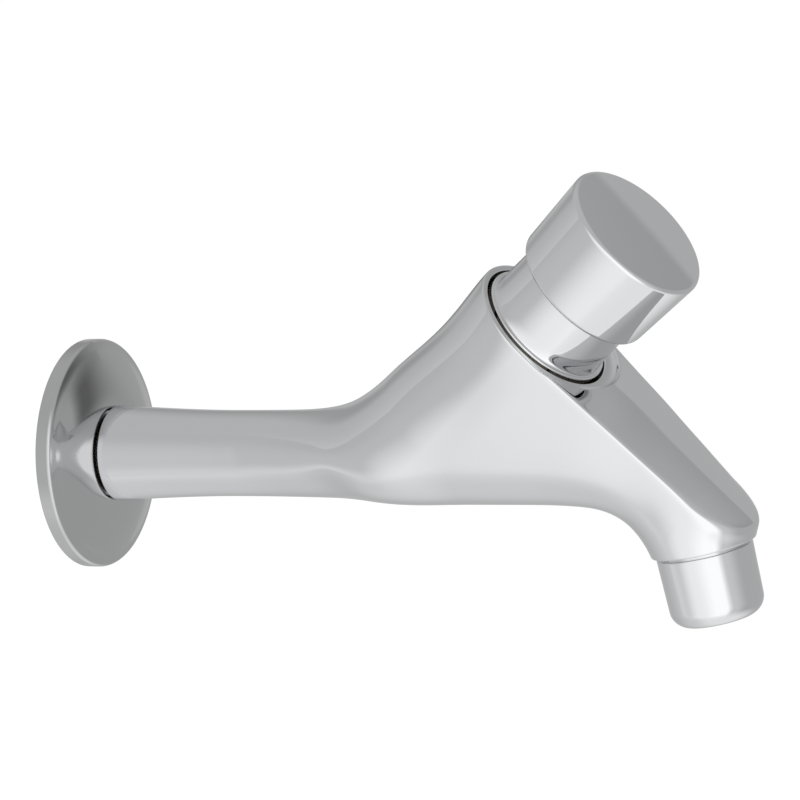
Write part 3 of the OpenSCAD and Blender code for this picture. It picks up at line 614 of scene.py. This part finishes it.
inlet_tail = make_tail()
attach(inlet_tail, "tap")
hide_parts("body")


# Wall flange
FLANGE_R = 29.0
FLANGE_H = 7.9
FLANGE_RIM_H = 3.9
FLANGE_WALL = 1.4
FLANGE_HOLE_R = THREAD_R + 0.45
HUB_R = TUBE_END_R + 0.3
FLANGE_RIM_EDGE = 1.0
FLANGE_FOOT_EDGE = 0.3
FLANGE_HOLE_EDGE = 0.2
FLANGE_INNER_EDGE = 0.5
DOME_STEPS = 16
DOME_POWER = 1.9


def make_flange():
    """Pressed wall plate: a low dome that rises to a flat hub, hollow behind."""
    dome_r = FLANGE_R - FLANGE_RIM_EDGE
    dome = []
    for k in range(1, DOME_STEPS):
        u = k / DOME_STEPS
        rise = 1 - (1 - u) ** DOME_POWER
        radius = dome_r - u * (dome_r - HUB_R)
        dome.append((radius, FLANGE_RIM_H + (FLANGE_H - FLANGE_RIM_H) * rise, None))
    inner = [(r, h - FLANGE_WALL, None) for r, h, _ in reversed(dome)]
    inner_r = FLANGE_R - FLANGE_WALL
    outline = [(inner_r, 0, FLANGE_FOOT_EDGE), (FLANGE_R, 0, FLANGE_FOOT_EDGE)]
    outline += [(FLANGE_R, FLANGE_RIM_H, FLANGE_RIM_EDGE)]
    outline += dome
    outline += [(HUB_R, FLANGE_H, None), (FLANGE_HOLE_R, FLANGE_H, FLANGE_HOLE_EDGE)]
    outline += [(FLANGE_HOLE_R, FLANGE_H - FLANGE_WALL), (HUB_R, FLANGE_H - FLANGE_WALL, None)]
    outline += inner
    outline += [(inner_r, FLANGE_RIM_H - FLANGE_WALL, FLANGE_INNER_EDGE)]
    return revolve("wall_plate", rounded(outline), np.zeros(3), X_AXIS)


wall_plate = make_flange()
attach(wall_plate, "tap")
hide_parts("wall_flange")


# Bonnet: ring in the mouth, conical neck and shank, drawn without its thread
RING_R = 17.5
RING_EDGE = 0.5
RING_TOP_H = 50.6
NECK_LEDGE = 1.25
NECK_FILLET = 0.64
NECK_FOOT_H = 3.6
NECK_FOOT_TOP_H = RING_TOP_H + NECK_FOOT_H
NECK_FOOT_STEPS = 12
NECK_TOP_H = 71.4
NECK_TOP_EDGE = 0.8
NECK_TAPER = 0.025
RECESS_R = 11.5
RECESS_EDGE = 0.4
WEB_LOW_H = 53.0
WEB_TOP_H = 60.0
WEB_HOLE_R = 7.0
BONNET_SHANK_R = 14.95
BONNET_SHANK_H = 36.0
BONNET_SHANK_EDGE = 0.4
BONNET_BORE_R = 12.65
BONNET_CORNER = 0.2


def neck_r(h):
    """Radius of the neck at a height."""
    return RING_R - NECK_LEDGE - NECK_TAPER * (h - RING_TOP_H)


def make_bonnet():
    """Bonnet with its ring, a neck that rises from it in a fillet, and the shank in the housing."""
    foot = []
    for k in range(1, NECK_FOOT_STEPS + 1):
        turn = math.pi / 2 * k / NECK_FOOT_STEPS
        radius = neck_r(NECK_FOOT_TOP_H) + NECK_FILLET * (1 - math.sin(turn))
        foot.append((radius, RING_TOP_H + NECK_FOOT_H * (1 - math.cos(turn)), None))
    outline = [
        (WEB_HOLE_R, WEB_LOW_H), (BONNET_BORE_R, WEB_LOW_H), (BONNET_BORE_R, BONNET_SHANK_H),
        (BONNET_SHANK_R, BONNET_SHANK_H, BONNET_SHANK_EDGE), (BONNET_SHANK_R, RING_FLOOR_H, BONNET_CORNER),
        (RING_R, RING_FLOOR_H, BONNET_CORNER), (RING_R, RING_TOP_H, RING_EDGE),
    ]
    outline += foot
    outline += [
        (neck_r(NECK_TOP_H), NECK_TOP_H, NECK_TOP_EDGE), (RECESS_R, NECK_TOP_H, RECESS_EDGE),
        (RECESS_R, WEB_TOP_H), (WEB_HOLE_R, WEB_TOP_H),
    ]
    return revolve("bonnet_neck", rounded(outline), CROSSING, HOUSING_DIR)


bonnet_neck = make_bonnet()
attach(bonnet_neck, "tap")
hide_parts("bonnet")


# Push button
TRAVEL = 8.0
RIM_H = 64.4
RIM_EDGE = 1.5
RIM_BORE_R = neck_r(RIM_H - TRAVEL) + 0.35
RIM_BORE_EDGE = 0.3
RIM_BORE_TOP_H = 66.4
RIM_R = RIM_BORE_R + 2.0
BUTTON_R = 19.8
BUTTON_TOP_H = 87.4
BUTTON_EDGE = 1.2
BUTTON_DOME = 0.6
BUTTON_DOME_STEPS = 12
CEILING_H = 84.8
CEILING_R = 17.9
CEILING_EDGE = 1.0
BOSS_R = 6.0
BOSS_LOW_H = 74.05
BOSS_EDGE = 0.3
BOSS_FILLET = 0.8
STEM_HOLE_R = 3.05
STEM_HOLE_TOP_H = 83.3


def make_button():
    """Tapered cap with a slight dome, hollow, with a boss for the stem."""
    top_edge = BUTTON_TOP_H - BUTTON_DOME
    dome = []
    for k in range(1, BUTTON_DOME_STEPS):
        share = 1 - k / BUTTON_DOME_STEPS
        dome.append((BUTTON_R * share, top_edge + BUTTON_DOME * (1 - share**2), None))
    outline = [
        (STEM_HOLE_R, STEM_HOLE_TOP_H), (STEM_HOLE_R, BOSS_LOW_H),
        (BOSS_R, BOSS_LOW_H, BOSS_EDGE), (BOSS_R, CEILING_H, BOSS_FILLET),
        (CEILING_R, CEILING_H, CEILING_EDGE), (RIM_BORE_R, RIM_BORE_TOP_H),
        (RIM_BORE_R, RIM_H, RIM_BORE_EDGE), (RIM_R, RIM_H, RIM_EDGE), (BUTTON_R, top_edge, BUTTON_EDGE),
    ]
    outline += dome
    outline += [(0, BUTTON_TOP_H), (0, STEM_HOLE_TOP_H)]
    return revolve("button_cap", rounded(outline), CROSSING, HOUSING_DIR)


button_cap = make_button()
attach(button_cap, "plunger")
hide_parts("push_button")


# Nozzle
NOZZLE_LIP_R = 8.5
NOZZLE_LIP_H = 1.2
NOZZLE_LIP_EDGE = 0.1
NOZZLE_LIP_LAND = 0.3
NOZZLE_BORE_R = 9.5
NOZZLE_FOOT_R = NOZZLE_R - 0.3
NOZZLE_EDGE_R = 4.6
NOZZLE_EDGE_STEPS = 16
NOZZLE_TOP_EDGE = 0.4
# Open line between nozzle and spout
NOZZLE_LINE = 0.7
SPIGOT_R = 10.95
SPIGOT_LEN = 7.3
SPIGOT_EDGE = 0.4
NOZZLE_CORNER_STEPS = 12


def make_nozzle():
    """Aerator housing: a short nozzle with a well-rounded foot and a spigot in the spout."""
    middle_r = NOZZLE_FOOT_R - NOZZLE_EDGE_R
    edge_start = math.asin((NOZZLE_LIP_R + NOZZLE_LIP_LAND - middle_r) / NOZZLE_EDGE_R)
    edge = []
    for k in range(NOZZLE_EDGE_STEPS + 1):
        turn = edge_start + (math.pi / 2 - edge_start) * k / NOZZLE_EDGE_STEPS
        radius = middle_r + NOZZLE_EDGE_R * math.sin(turn)
        edge.append((radius, NOZZLE_EDGE_R * (1 - math.cos(turn)), None))
    shoulder = NOZZLE_LEN - NOZZLE_LINE
    top = NOZZLE_LEN + SPIGOT_LEN
    outline = [(NOZZLE_LIP_R, NOZZLE_LIP_H), (NOZZLE_LIP_R, edge[0][1], NOZZLE_LIP_EDGE)]
    outline += edge
    outline += [
        (NOZZLE_R, shoulder, NOZZLE_TOP_EDGE), (SPIGOT_R, shoulder), (SPIGOT_R, top, SPIGOT_EDGE),
        (NOZZLE_BORE_R, top), (NOZZLE_BORE_R, NOZZLE_LIP_H),
    ]
    return revolve("nozzle_shell", rounded(outline, NOZZLE_CORNER_STEPS), NOZZLE_FOOT, -NOZZLE_DIR)


nozzle_shell = make_nozzle()
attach(nozzle_shell, "tap")
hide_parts("aerator_housing")


# Return spring, drawn at one length; the real one shortens with the button
SPRING_R = 8.0
SPRING_WIRE_R = 0.6
SPRING_TURNS = 6
SPRING_LOW_H = 26.65
SPRING_HIGH_H = 43.35
SPRING_STEPS = 36
WIRE_SIDES = 12


def make_spring():
    """Helix of round wire."""
    count = SPRING_TURNS * SPRING_STEPS
    across = np.cross(Y_AXIS, HOUSING_DIR)
    points = []
    for i in range(count + 1):
        turn = 2 * math.pi * i / SPRING_STEPS
        outward = math.cos(turn) * across + math.sin(turn) * Y_AXIS
        height = SPRING_LOW_H + (SPRING_HIGH_H - SPRING_LOW_H) * i / count
        middle = CROSSING + height * HOUSING_DIR + SPRING_R * outward
        for k in range(WIRE_SIDES):
            angle = 2 * math.pi * k / WIRE_SIDES
            reach = math.cos(angle) * outward + math.sin(angle) * HOUSING_DIR
            points.append(middle + SPRING_WIRE_R * reach)
    faces = []
    for i in range(count):
        for k in range(WIRE_SIDES):
            a = i * WIRE_SIDES + k
            b = i * WIRE_SIDES + (k + 1) % WIRE_SIDES
            faces.append([a, a + WIRE_SIDES, b + WIRE_SIDES, b])
    faces.append(list(range(WIRE_SIDES)))
    faces.append([count * WIRE_SIDES + k for k in reversed(range(WIRE_SIDES))])
    return mesh_object("coil_spring", points, faces)


coil_spring = make_spring()
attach(coil_spring, "tap")
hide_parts("return_spring")
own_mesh(coil_spring)


# Materials. Scales are in cycles per metre and ripples in metres
CHROME = (0.80, 0.81, 0.82)
POLISH = (0.02, 0.045)
POLISH_WAVE = 0.00001
WAVE_SCALE = 60
HAZE_SCALE = 140
# Colour of the unplated bore faces: the unplated metal is real, its darkness is painted shade
SHADED_BARE_METAL = (0.13, 0.115, 0.095)
TURNED = (0.2, 0.35)
TURNED_SCALE = 900
DRAWN_SCALE = 1500
TOOL_MARKS = 0.00002
MOULDED_HAZE_SCALE = 400
MOULDED_GRAIN_SCALE = 3000
MOULDED_GRAIN_STRENGTH = 0.5
PLASTIC_GLOSS = (0.4, 0.55)
PLASTIC_GRAIN = 0.00002
RUBBER_GLOSS = (0.55, 0.75)
RUBBER_GRAIN = 0.00004
# Noise seldom leaves this range
NOISE_LOW = 0.3
NOISE_HIGH = 0.7


def new_material(name):
    """Material with its nodes and links."""
    material = bpy.data.materials.new(name)
    material.use_nodes = True
    return material, material.node_tree.nodes, material.node_tree.links


def noise(nodes, links, scale, detail):
    """Noise in the frame's own coordinates."""
    place = nodes.new("ShaderNodeTexCoord")
    texture = nodes.new("ShaderNodeTexNoise")
    texture.inputs["Scale"].default_value = scale
    texture.inputs["Detail"].default_value = detail
    links.new(place.outputs["Object"], texture.inputs["Vector"])
    return texture.outputs["Fac"]


def calculate(nodes, links, operation, *sources):
    """Math node on sockets or numbers."""
    node = nodes.new("ShaderNodeMath")
    node.operation = operation
    for socket, source in zip(node.inputs, sources):
        if isinstance(source, (int, float)):
            socket.default_value = source
        else:
            links.new(source, socket)
    return node.outputs["Value"]


def fade(nodes, links, source, start, end, first, last):
    """Smooth change of level between two values of a source."""
    change = nodes.new("ShaderNodeMapRange")
    change.interpolation_type = "SMOOTHSTEP"
    for name, value in (("From Min", start), ("From Max", end), ("To Min", first), ("To Max", last)):
        if isinstance(value, (int, float)):
            change.inputs[name].default_value = value
        else:
            links.new(value, change.inputs[name])
    links.new(source, change.inputs["Value"])
    return change.outputs["Result"]


def spread(nodes, links, source, low, high):
    """Maps noise to a range."""
    change = nodes.new("ShaderNodeMapRange")
    change.inputs["From Min"].default_value = NOISE_LOW
    change.inputs["From Max"].default_value = NOISE_HIGH
    change.inputs["To Min"].default_value = low
    change.inputs["To Max"].default_value = high
    links.new(source, change.inputs["Value"])
    return change.outputs["Result"]


def bump(nodes, links, source, strength, distance):
    """Normal of a rippled surface."""
    ripple = nodes.new("ShaderNodeBump")
    ripple.inputs["Strength"].default_value = strength
    ripple.inputs["Distance"].default_value = distance
    links.new(source, ripple.inputs["Height"])
    return ripple.outputs["Normal"]


def metal(name, color, rough, ripple_scale, ripple):
    """Polished or drawn metal: roughness drifts with faint haze, and the surface has a slight wave."""
    material, nodes, links = new_material(name)
    shader = nodes["Principled BSDF"]
    shader.inputs["Base Color"].default_value = (*color, 1)
    shader.inputs["Metallic"].default_value = 1
    haze = noise(nodes, links, HAZE_SCALE, 4)
    links.new(spread(nodes, links, haze, *rough), shader.inputs["Roughness"])
    wave = noise(nodes, links, ripple_scale, 2)
    links.new(bump(nodes, links, wave, 1, ripple), shader.inputs["Normal"])
    return material


def plated(name, base, bare_shade):
    """Polished plating that turns to unplated turned metal where a face is marked as bore; the dark colour
    of that metal is painted shade.
    """
    material, nodes, links = new_material(name)
    shader = nodes["Principled BSDF"]
    shader.inputs["Metallic"].default_value = 1
    mark = nodes.new("ShaderNodeAttribute")
    mark.attribute_name = "machined"
    machined = mark.outputs["Fac"]
    # Marked bore faces take the dark colour, which is painted shade in the recesses
    tint = nodes.new("ShaderNodeMix")
    tint.data_type = "RGBA"
    tint.inputs["A"].default_value = (*base, 1)
    tint.inputs["B"].default_value = (*bare_shade, 1)
    links.new(machined, tint.inputs["Factor"])
    links.new(tint.outputs["Result"], shader.inputs["Base Color"])
    polish = spread(nodes, links, noise(nodes, links, HAZE_SCALE, 4), *POLISH)
    turned = spread(nodes, links, noise(nodes, links, TURNED_SCALE, 4), *TURNED)
    links.new(fade(nodes, links, machined, 0.0, 1.0, polish, turned), shader.inputs["Roughness"])
    wave = noise(nodes, links, WAVE_SCALE, 2)
    links.new(bump(nodes, links, wave, 1, POLISH_WAVE), shader.inputs["Normal"])
    return material


def plastic(name, color, rough, grain):
    """Moulded plastic or rubber with a fine grain."""
    material, nodes, links = new_material(name)
    shader = nodes["Principled BSDF"]
    shader.inputs["Base Color"].default_value = (*color, 1)
    haze = noise(nodes, links, MOULDED_HAZE_SCALE, 4)
    links.new(spread(nodes, links, haze, *rough), shader.inputs["Roughness"])
    fine = noise(nodes, links, MOULDED_GRAIN_SCALE, 2)
    links.new(bump(nodes, links, fine, MOULDED_GRAIN_STRENGTH, grain), shader.inputs["Normal"])
    return material


MATERIALS = {
    "chrome": metal("chrome", CHROME, POLISH, WAVE_SCALE, POLISH_WAVE),
    "casting": plated("casting", CHROME, SHADED_BARE_METAL),
    "plate": metal("plate", (0.62, 0.625, 0.63), (0.03, 0.06), WAVE_SCALE, POLISH_WAVE),
    "brass": metal("brass", (0.72, 0.55, 0.28), (0.18, 0.32), TURNED_SCALE, TOOL_MARKS),
    "stainless": metal("stainless", (0.62, 0.62, 0.63), (0.22, 0.38), DRAWN_SCALE, TOOL_MARKS),
    "white_plastic": plastic("white_plastic", (0.85, 0.85, 0.83), PLASTIC_GLOSS, PLASTIC_GRAIN),
    "blue_plastic": plastic("blue_plastic", (0.1, 0.25, 0.6), PLASTIC_GLOSS, PLASTIC_GRAIN),
    "rubber": plastic("rubber", (0.03, 0.03, 0.03), RUBBER_GLOSS, RUBBER_GRAIN),
}
for piece in (body_casting, inlet_tail):
    piece.data.materials.append(MATERIALS["casting"])
for piece in (bonnet_neck, button_cap, nozzle_shell):
    piece.data.materials.append(MATERIALS["chrome"])
wall_plate.data.materials.append(MATERIALS["plate"])
coil_spring.data.materials.append(MATERIALS["stainless"])
for entry in frame["record"]["subparts"]:
    node = frame["nodes"][entry["node"]]
    node.data.materials.clear()
    node.data.materials.append(MATERIALS[entry["material_slot"]])


# Camera: turned and rolled as in the photograph
VIEW_AZIMUTH = math.radians(27.51)
VIEW_ELEVATION = math.radians(12.39)
VIEW_ROLL = math.radians(-6.39)
VIEW_DISTANCE = 2500.0
VIEW_TARGET = np.array([90.17, 0.0, 13.8])
LENS_MM = 449.22
SENSOR_MM = 36.0
VIEW_END = 50.0


def make_camera():
    """Camera at the photograph's viewing angle."""
    toward = np.array([
        math.sin(VIEW_AZIMUTH) * math.cos(VIEW_ELEVATION),
        -math.cos(VIEW_AZIMUTH) * math.cos(VIEW_ELEVATION),
        math.sin(VIEW_ELEVATION),
    ])
    right = np.array([math.cos(VIEW_AZIMUTH), math.sin(VIEW_AZIMUTH), 0.0])
    up = np.cross(toward, right)
    rolled_right = math.cos(VIEW_ROLL) * right + math.sin(VIEW_ROLL) * up
    rolled_up = -math.sin(VIEW_ROLL) * right + math.cos(VIEW_ROLL) * up
    data = bpy.data.cameras.new("camera")
    data.lens = LENS_MM
    data.sensor_width = SENSOR_MM
    data.clip_end = VIEW_END
    camera = bpy.data.objects.new("camera", data)
    bpy.context.scene.collection.objects.link(camera)
    turn = Matrix([rolled_right, rolled_up, toward]).transposed()
    place = Vector((VIEW_TARGET + VIEW_DISTANCE * toward) * MM)
    camera.matrix_world = Matrix.Translation(place) @ turn.to_4x4()
    bpy.context.scene.camera = camera


make_camera()


# Surroundings: a white background, a pale floor far below, a light tent and two cards. Sizes are in metres
# Brightness of the tent behind the camera, to its sides, behind the tap, above and below
FRONT_LEVEL = 1.2
LEFT_LEVEL = 0.5
RIGHT_LEVEL = 0.46
RIGHT_EDGE_LEVEL = 0.66
BACK_LEVEL = 0.37
BACK_PANEL_LEVEL = 0.47
TOP_LEVEL = 0.53
UNDER_LEVEL = 0.9
UNDER_LEFT_LEVEL = 0.68
DIFFUSE_LEVEL = 0.8
TENT_RADIUS = 4.0
TENT_SUBDIVISIONS = 5
# Turns round the upright axis, from straight ahead, between which the tent's sides change
LEFT_END = math.radians(-115)
LEFT_START = math.radians(25)
LEFT_POWER = 1.4
RIGHT_START = math.radians(48)
RIGHT_EDGE = math.radians(70)
RIGHT_END = math.radians(110)
# Parts of the tent by the components of a direction
BACK_START = (0.2, 0.6)
BACK_CLIMB = (0.05, 0.3)
BACK_PANEL_EDGE = (0.876, 0.89)
TOP_CLIMB = (0.3, 0.9)
UNDER_FALL = (-0.55, -0.95)
UNDER_LEFT_EDGE = (-0.5, 0.0)
# Front card: where it stands and how its brightness runs
FRONT_CARD_Y = -0.3
FRONT_CARD_WIDE = (-1.1, 0.62)
FRONT_CARD_TALL = (-0.38, 0.75)
FRONT_CARD_EDGES = (0.13, 0.13)
LOW_DIM_LEVEL = 0.74
DIM_LEVEL = 0.6
DIM_FALL = (-0.24, -0.05)
DIM_TOP = (-0.1, 0.5)
BRIGHT_LEVEL = 1.0
BRIGHT_RUN = (-0.16, 0.1)
GLARE_RISE = 0.2
GLARE_RUN = (0.1, 0.34)
CARD_TOP = (0.15, 0.5)
# Dark card behind the tap, for the wall plate
REAR_CARD_Y = 0.065
REAR_CARD_WIDE = (0.02, 0.16)
REAR_CARD_TALL = (-0.02, 0.07)
REAR_CARD_EDGES = (0.065, 0.035)
REAR_CARD_LEVEL = 0.15
FLOOR_DROP = 0.3
FLOOR_SIZE = 12.0
FLOOR_GREY = 0.75
FLOOR_ROUGHNESS = 0.9


def only_reflected(piece):
    """Leaves a piece of the surroundings to reflections alone."""
    piece.visible_camera = False
    piece.visible_diffuse = False
    piece.visible_transmission = False
    piece.visible_shadow = False


def make_tent():
    """Large sphere that only reflections see: bright round the camera, grey at the sides and behind."""
    material, nodes, links = new_material("tent")
    nodes.remove(nodes["Principled BSDF"])
    place = nodes.new("ShaderNodeTexCoord")
    direction = nodes.new("ShaderNodeVectorMath")
    direction.operation = "NORMALIZE"
    axes = nodes.new("ShaderNodeSeparateXYZ")
    links.new(place.outputs["Object"], direction.inputs[0])
    links.new(direction.outputs["Vector"], axes.inputs["Vector"])
    x, y, z = axes.outputs
    turn = calculate(nodes, links, "ARCTAN2", x, calculate(nodes, links, "MULTIPLY", y, -1))
    climb = calculate(nodes, links, "DIVIDE", turn, LEFT_START - LEFT_END)
    climb = calculate(nodes, links, "ADD", climb, -LEFT_END / (LEFT_START - LEFT_END))
    climb = calculate(nodes, links, "MINIMUM", calculate(nodes, links, "MAXIMUM", climb, 0), 1)
    climb = calculate(nodes, links, "POWER", climb, LEFT_POWER)
    left = calculate(nodes, links, "MULTIPLY_ADD", climb, FRONT_LEVEL - LEFT_LEVEL, LEFT_LEVEL)
    right = fade(nodes, links, turn, RIGHT_START, RIGHT_EDGE, FRONT_LEVEL, RIGHT_EDGE_LEVEL)
    right = fade(nodes, links, turn, RIGHT_EDGE, RIGHT_END, right, RIGHT_LEVEL)
    level = calculate(nodes, links, "MINIMUM", left, right)
    back = fade(nodes, links, y, *BACK_PANEL_EDGE, BACK_LEVEL, BACK_PANEL_LEVEL)
    far = fade(nodes, links, y, *BACK_START, 0.0, 1.0)
    risen = fade(nodes, links, z, *BACK_CLIMB, 0.0, 1.0)
    behind = calculate(nodes, links, "MULTIPLY", far, risen)
    level = fade(nodes, links, behind, 0.0, 1.0, level, back)
    level = fade(nodes, links, z, *TOP_CLIMB, level, TOP_LEVEL)
    under = fade(nodes, links, x, *UNDER_LEFT_EDGE, UNDER_LEFT_LEVEL, UNDER_LEVEL)
    level = fade(nodes, links, z, *UNDER_FALL, level, under)
    glow = nodes.new("ShaderNodeEmission")
    links.new(level, glow.inputs["Strength"])
    links.new(glow.outputs["Emission"], nodes["Material Output"].inputs["Surface"])
    middle = tuple(VIEW_TARGET * MM)
    bpy.ops.mesh.primitive_ico_sphere_add(
        subdivisions=TENT_SUBDIVISIONS, radius=TENT_RADIUS, location=middle
    )
    tent = bpy.context.object
    tent.name = "light_tent"
    tent.data.materials.append(material)
    only_reflected(tent)


def make_card(name, depth, wide, tall, edges, find_level):
    """Upright card with soft edges that only reflections see."""
    material, nodes, links = new_material(name)
    nodes.remove(nodes["Principled BSDF"])
    place = nodes.new("ShaderNodeTexCoord")
    axes = nodes.new("ShaderNodeSeparateXYZ")
    links.new(place.outputs["Object"], axes.inputs["Vector"])
    x, _, z = axes.outputs
    cover = 1.0
    for source, span, edge in ((x, wide, edges[0]), (z, tall, edges[1])):
        for start, end in ((span[0], span[0] + edge), (span[1], span[1] - edge)):
            soft = fade(nodes, links, source, start, end, 0.0, 1.0)
            cover = calculate(nodes, links, "MULTIPLY", cover, soft)
    glow = nodes.new("ShaderNodeEmission")
    level = find_level(nodes, links, x, z)
    if isinstance(level, float):
        glow.inputs["Strength"].default_value = level
    else:
        links.new(level, glow.inputs["Strength"])
    mix = nodes.new("ShaderNodeMixShader")
    links.new(cover, mix.inputs["Fac"])
    links.new(nodes.new("ShaderNodeBsdfTransparent").outputs["BSDF"], mix.inputs[1])
    links.new(glow.outputs["Emission"], mix.inputs[2])
    links.new(mix.outputs["Shader"], nodes["Material Output"].inputs["Surface"])
    corners = [(wide[0], tall[0]), (wide[1], tall[0]), (wide[1], tall[1]), (wide[0], tall[1])]
    card = mesh_object(name, [(a / MM, depth / MM, b / MM) for a, b in corners], [[0, 1, 2, 3]])
    card.data.materials.append(material)
    only_reflected(card)


def front_level(nodes, links, x, z):
    """Dim before the tube, brightest to the right, and as dim as the ceiling at its top."""
    dim = fade(nodes, links, z, *DIM_FALL, LOW_DIM_LEVEL, DIM_LEVEL)
    dim = fade(nodes, links, z, *DIM_TOP, dim, TOP_LEVEL)
    level = fade(nodes, links, x, *BRIGHT_RUN, dim, BRIGHT_LEVEL)
    glare = fade(nodes, links, x, *GLARE_RUN, 0.0, GLARE_RISE)
    level = calculate(nodes, links, "ADD", level, glare)
    return fade(nodes, links, z, *CARD_TOP, level, TOP_LEVEL)


def rear_level(nodes, links, x, z):
    """Evenly dark."""
    return REAR_CARD_LEVEL


def make_floor():
    """Pale floor: diffuse, so that it keeps the tap's shadow, and topped up to white for the camera."""
    material, nodes, links = new_material("floor")
    shader = nodes["Principled BSDF"]
    shader.inputs["Base Color"].default_value = (FLOOR_GREY, FLOOR_GREY, FLOOR_GREY, 1)
    shader.inputs["Roughness"].default_value = FLOOR_ROUGHNESS
    shader.inputs["Emission Color"].default_value = (1, 1, 1, 1)
    path = nodes.new("ShaderNodeLightPath")
    missing = 1 - FLOOR_GREY * DIFFUSE_LEVEL
    seen = calculate(nodes, links, "MULTIPLY", path.outputs["Is Camera Ray"], missing)
    links.new(seen, shader.inputs["Emission Strength"])
    middle = (VIEW_TARGET[0] * MM, 0, -FLOOR_DROP)
    bpy.ops.mesh.primitive_plane_add(size=FLOOR_SIZE, location=middle)
    floor = bpy.context.object
    floor.name = "floor"
    floor.data.materials.append(material)
    floor.visible_glossy = False


def make_world():
    """World that is white to the eye and in reflections, and a plain soft light to all else."""
    world = bpy.data.worlds.new("studio")
    bpy.context.scene.world = world
    world.use_nodes = True
    nodes = world.node_tree.nodes
    links = world.node_tree.links
    nodes.clear()
    around = nodes.new("ShaderNodeBackground")
    around.inputs["Color"].default_value = (1, 1, 1, 1)
    path = nodes.new("ShaderNodeLightPath")
    seen = path.outputs["Is Camera Ray"]
    for kind in ("Is Glossy Ray", "Is Transmission Ray"):
        seen = calculate(nodes, links, "MAXIMUM", seen, path.outputs[kind])
    links.new(fade(nodes, links, seen, 0.0, 1.0, DIFFUSE_LEVEL, 1.0), around.inputs["Strength"])
    output = nodes.new("ShaderNodeOutputWorld")
    links.new(around.outputs["Background"], output.inputs["Surface"])


make_tent()
make_card("front_card", FRONT_CARD_Y, FRONT_CARD_WIDE, FRONT_CARD_TALL, FRONT_CARD_EDGES, front_level)
make_card("rear_flag", REAR_CARD_Y, REAR_CARD_WIDE, REAR_CARD_TALL, REAR_CARD_EDGES, rear_level)
make_floor()
make_world()
bpy.context.scene.view_settings.view_transform = "Standard"
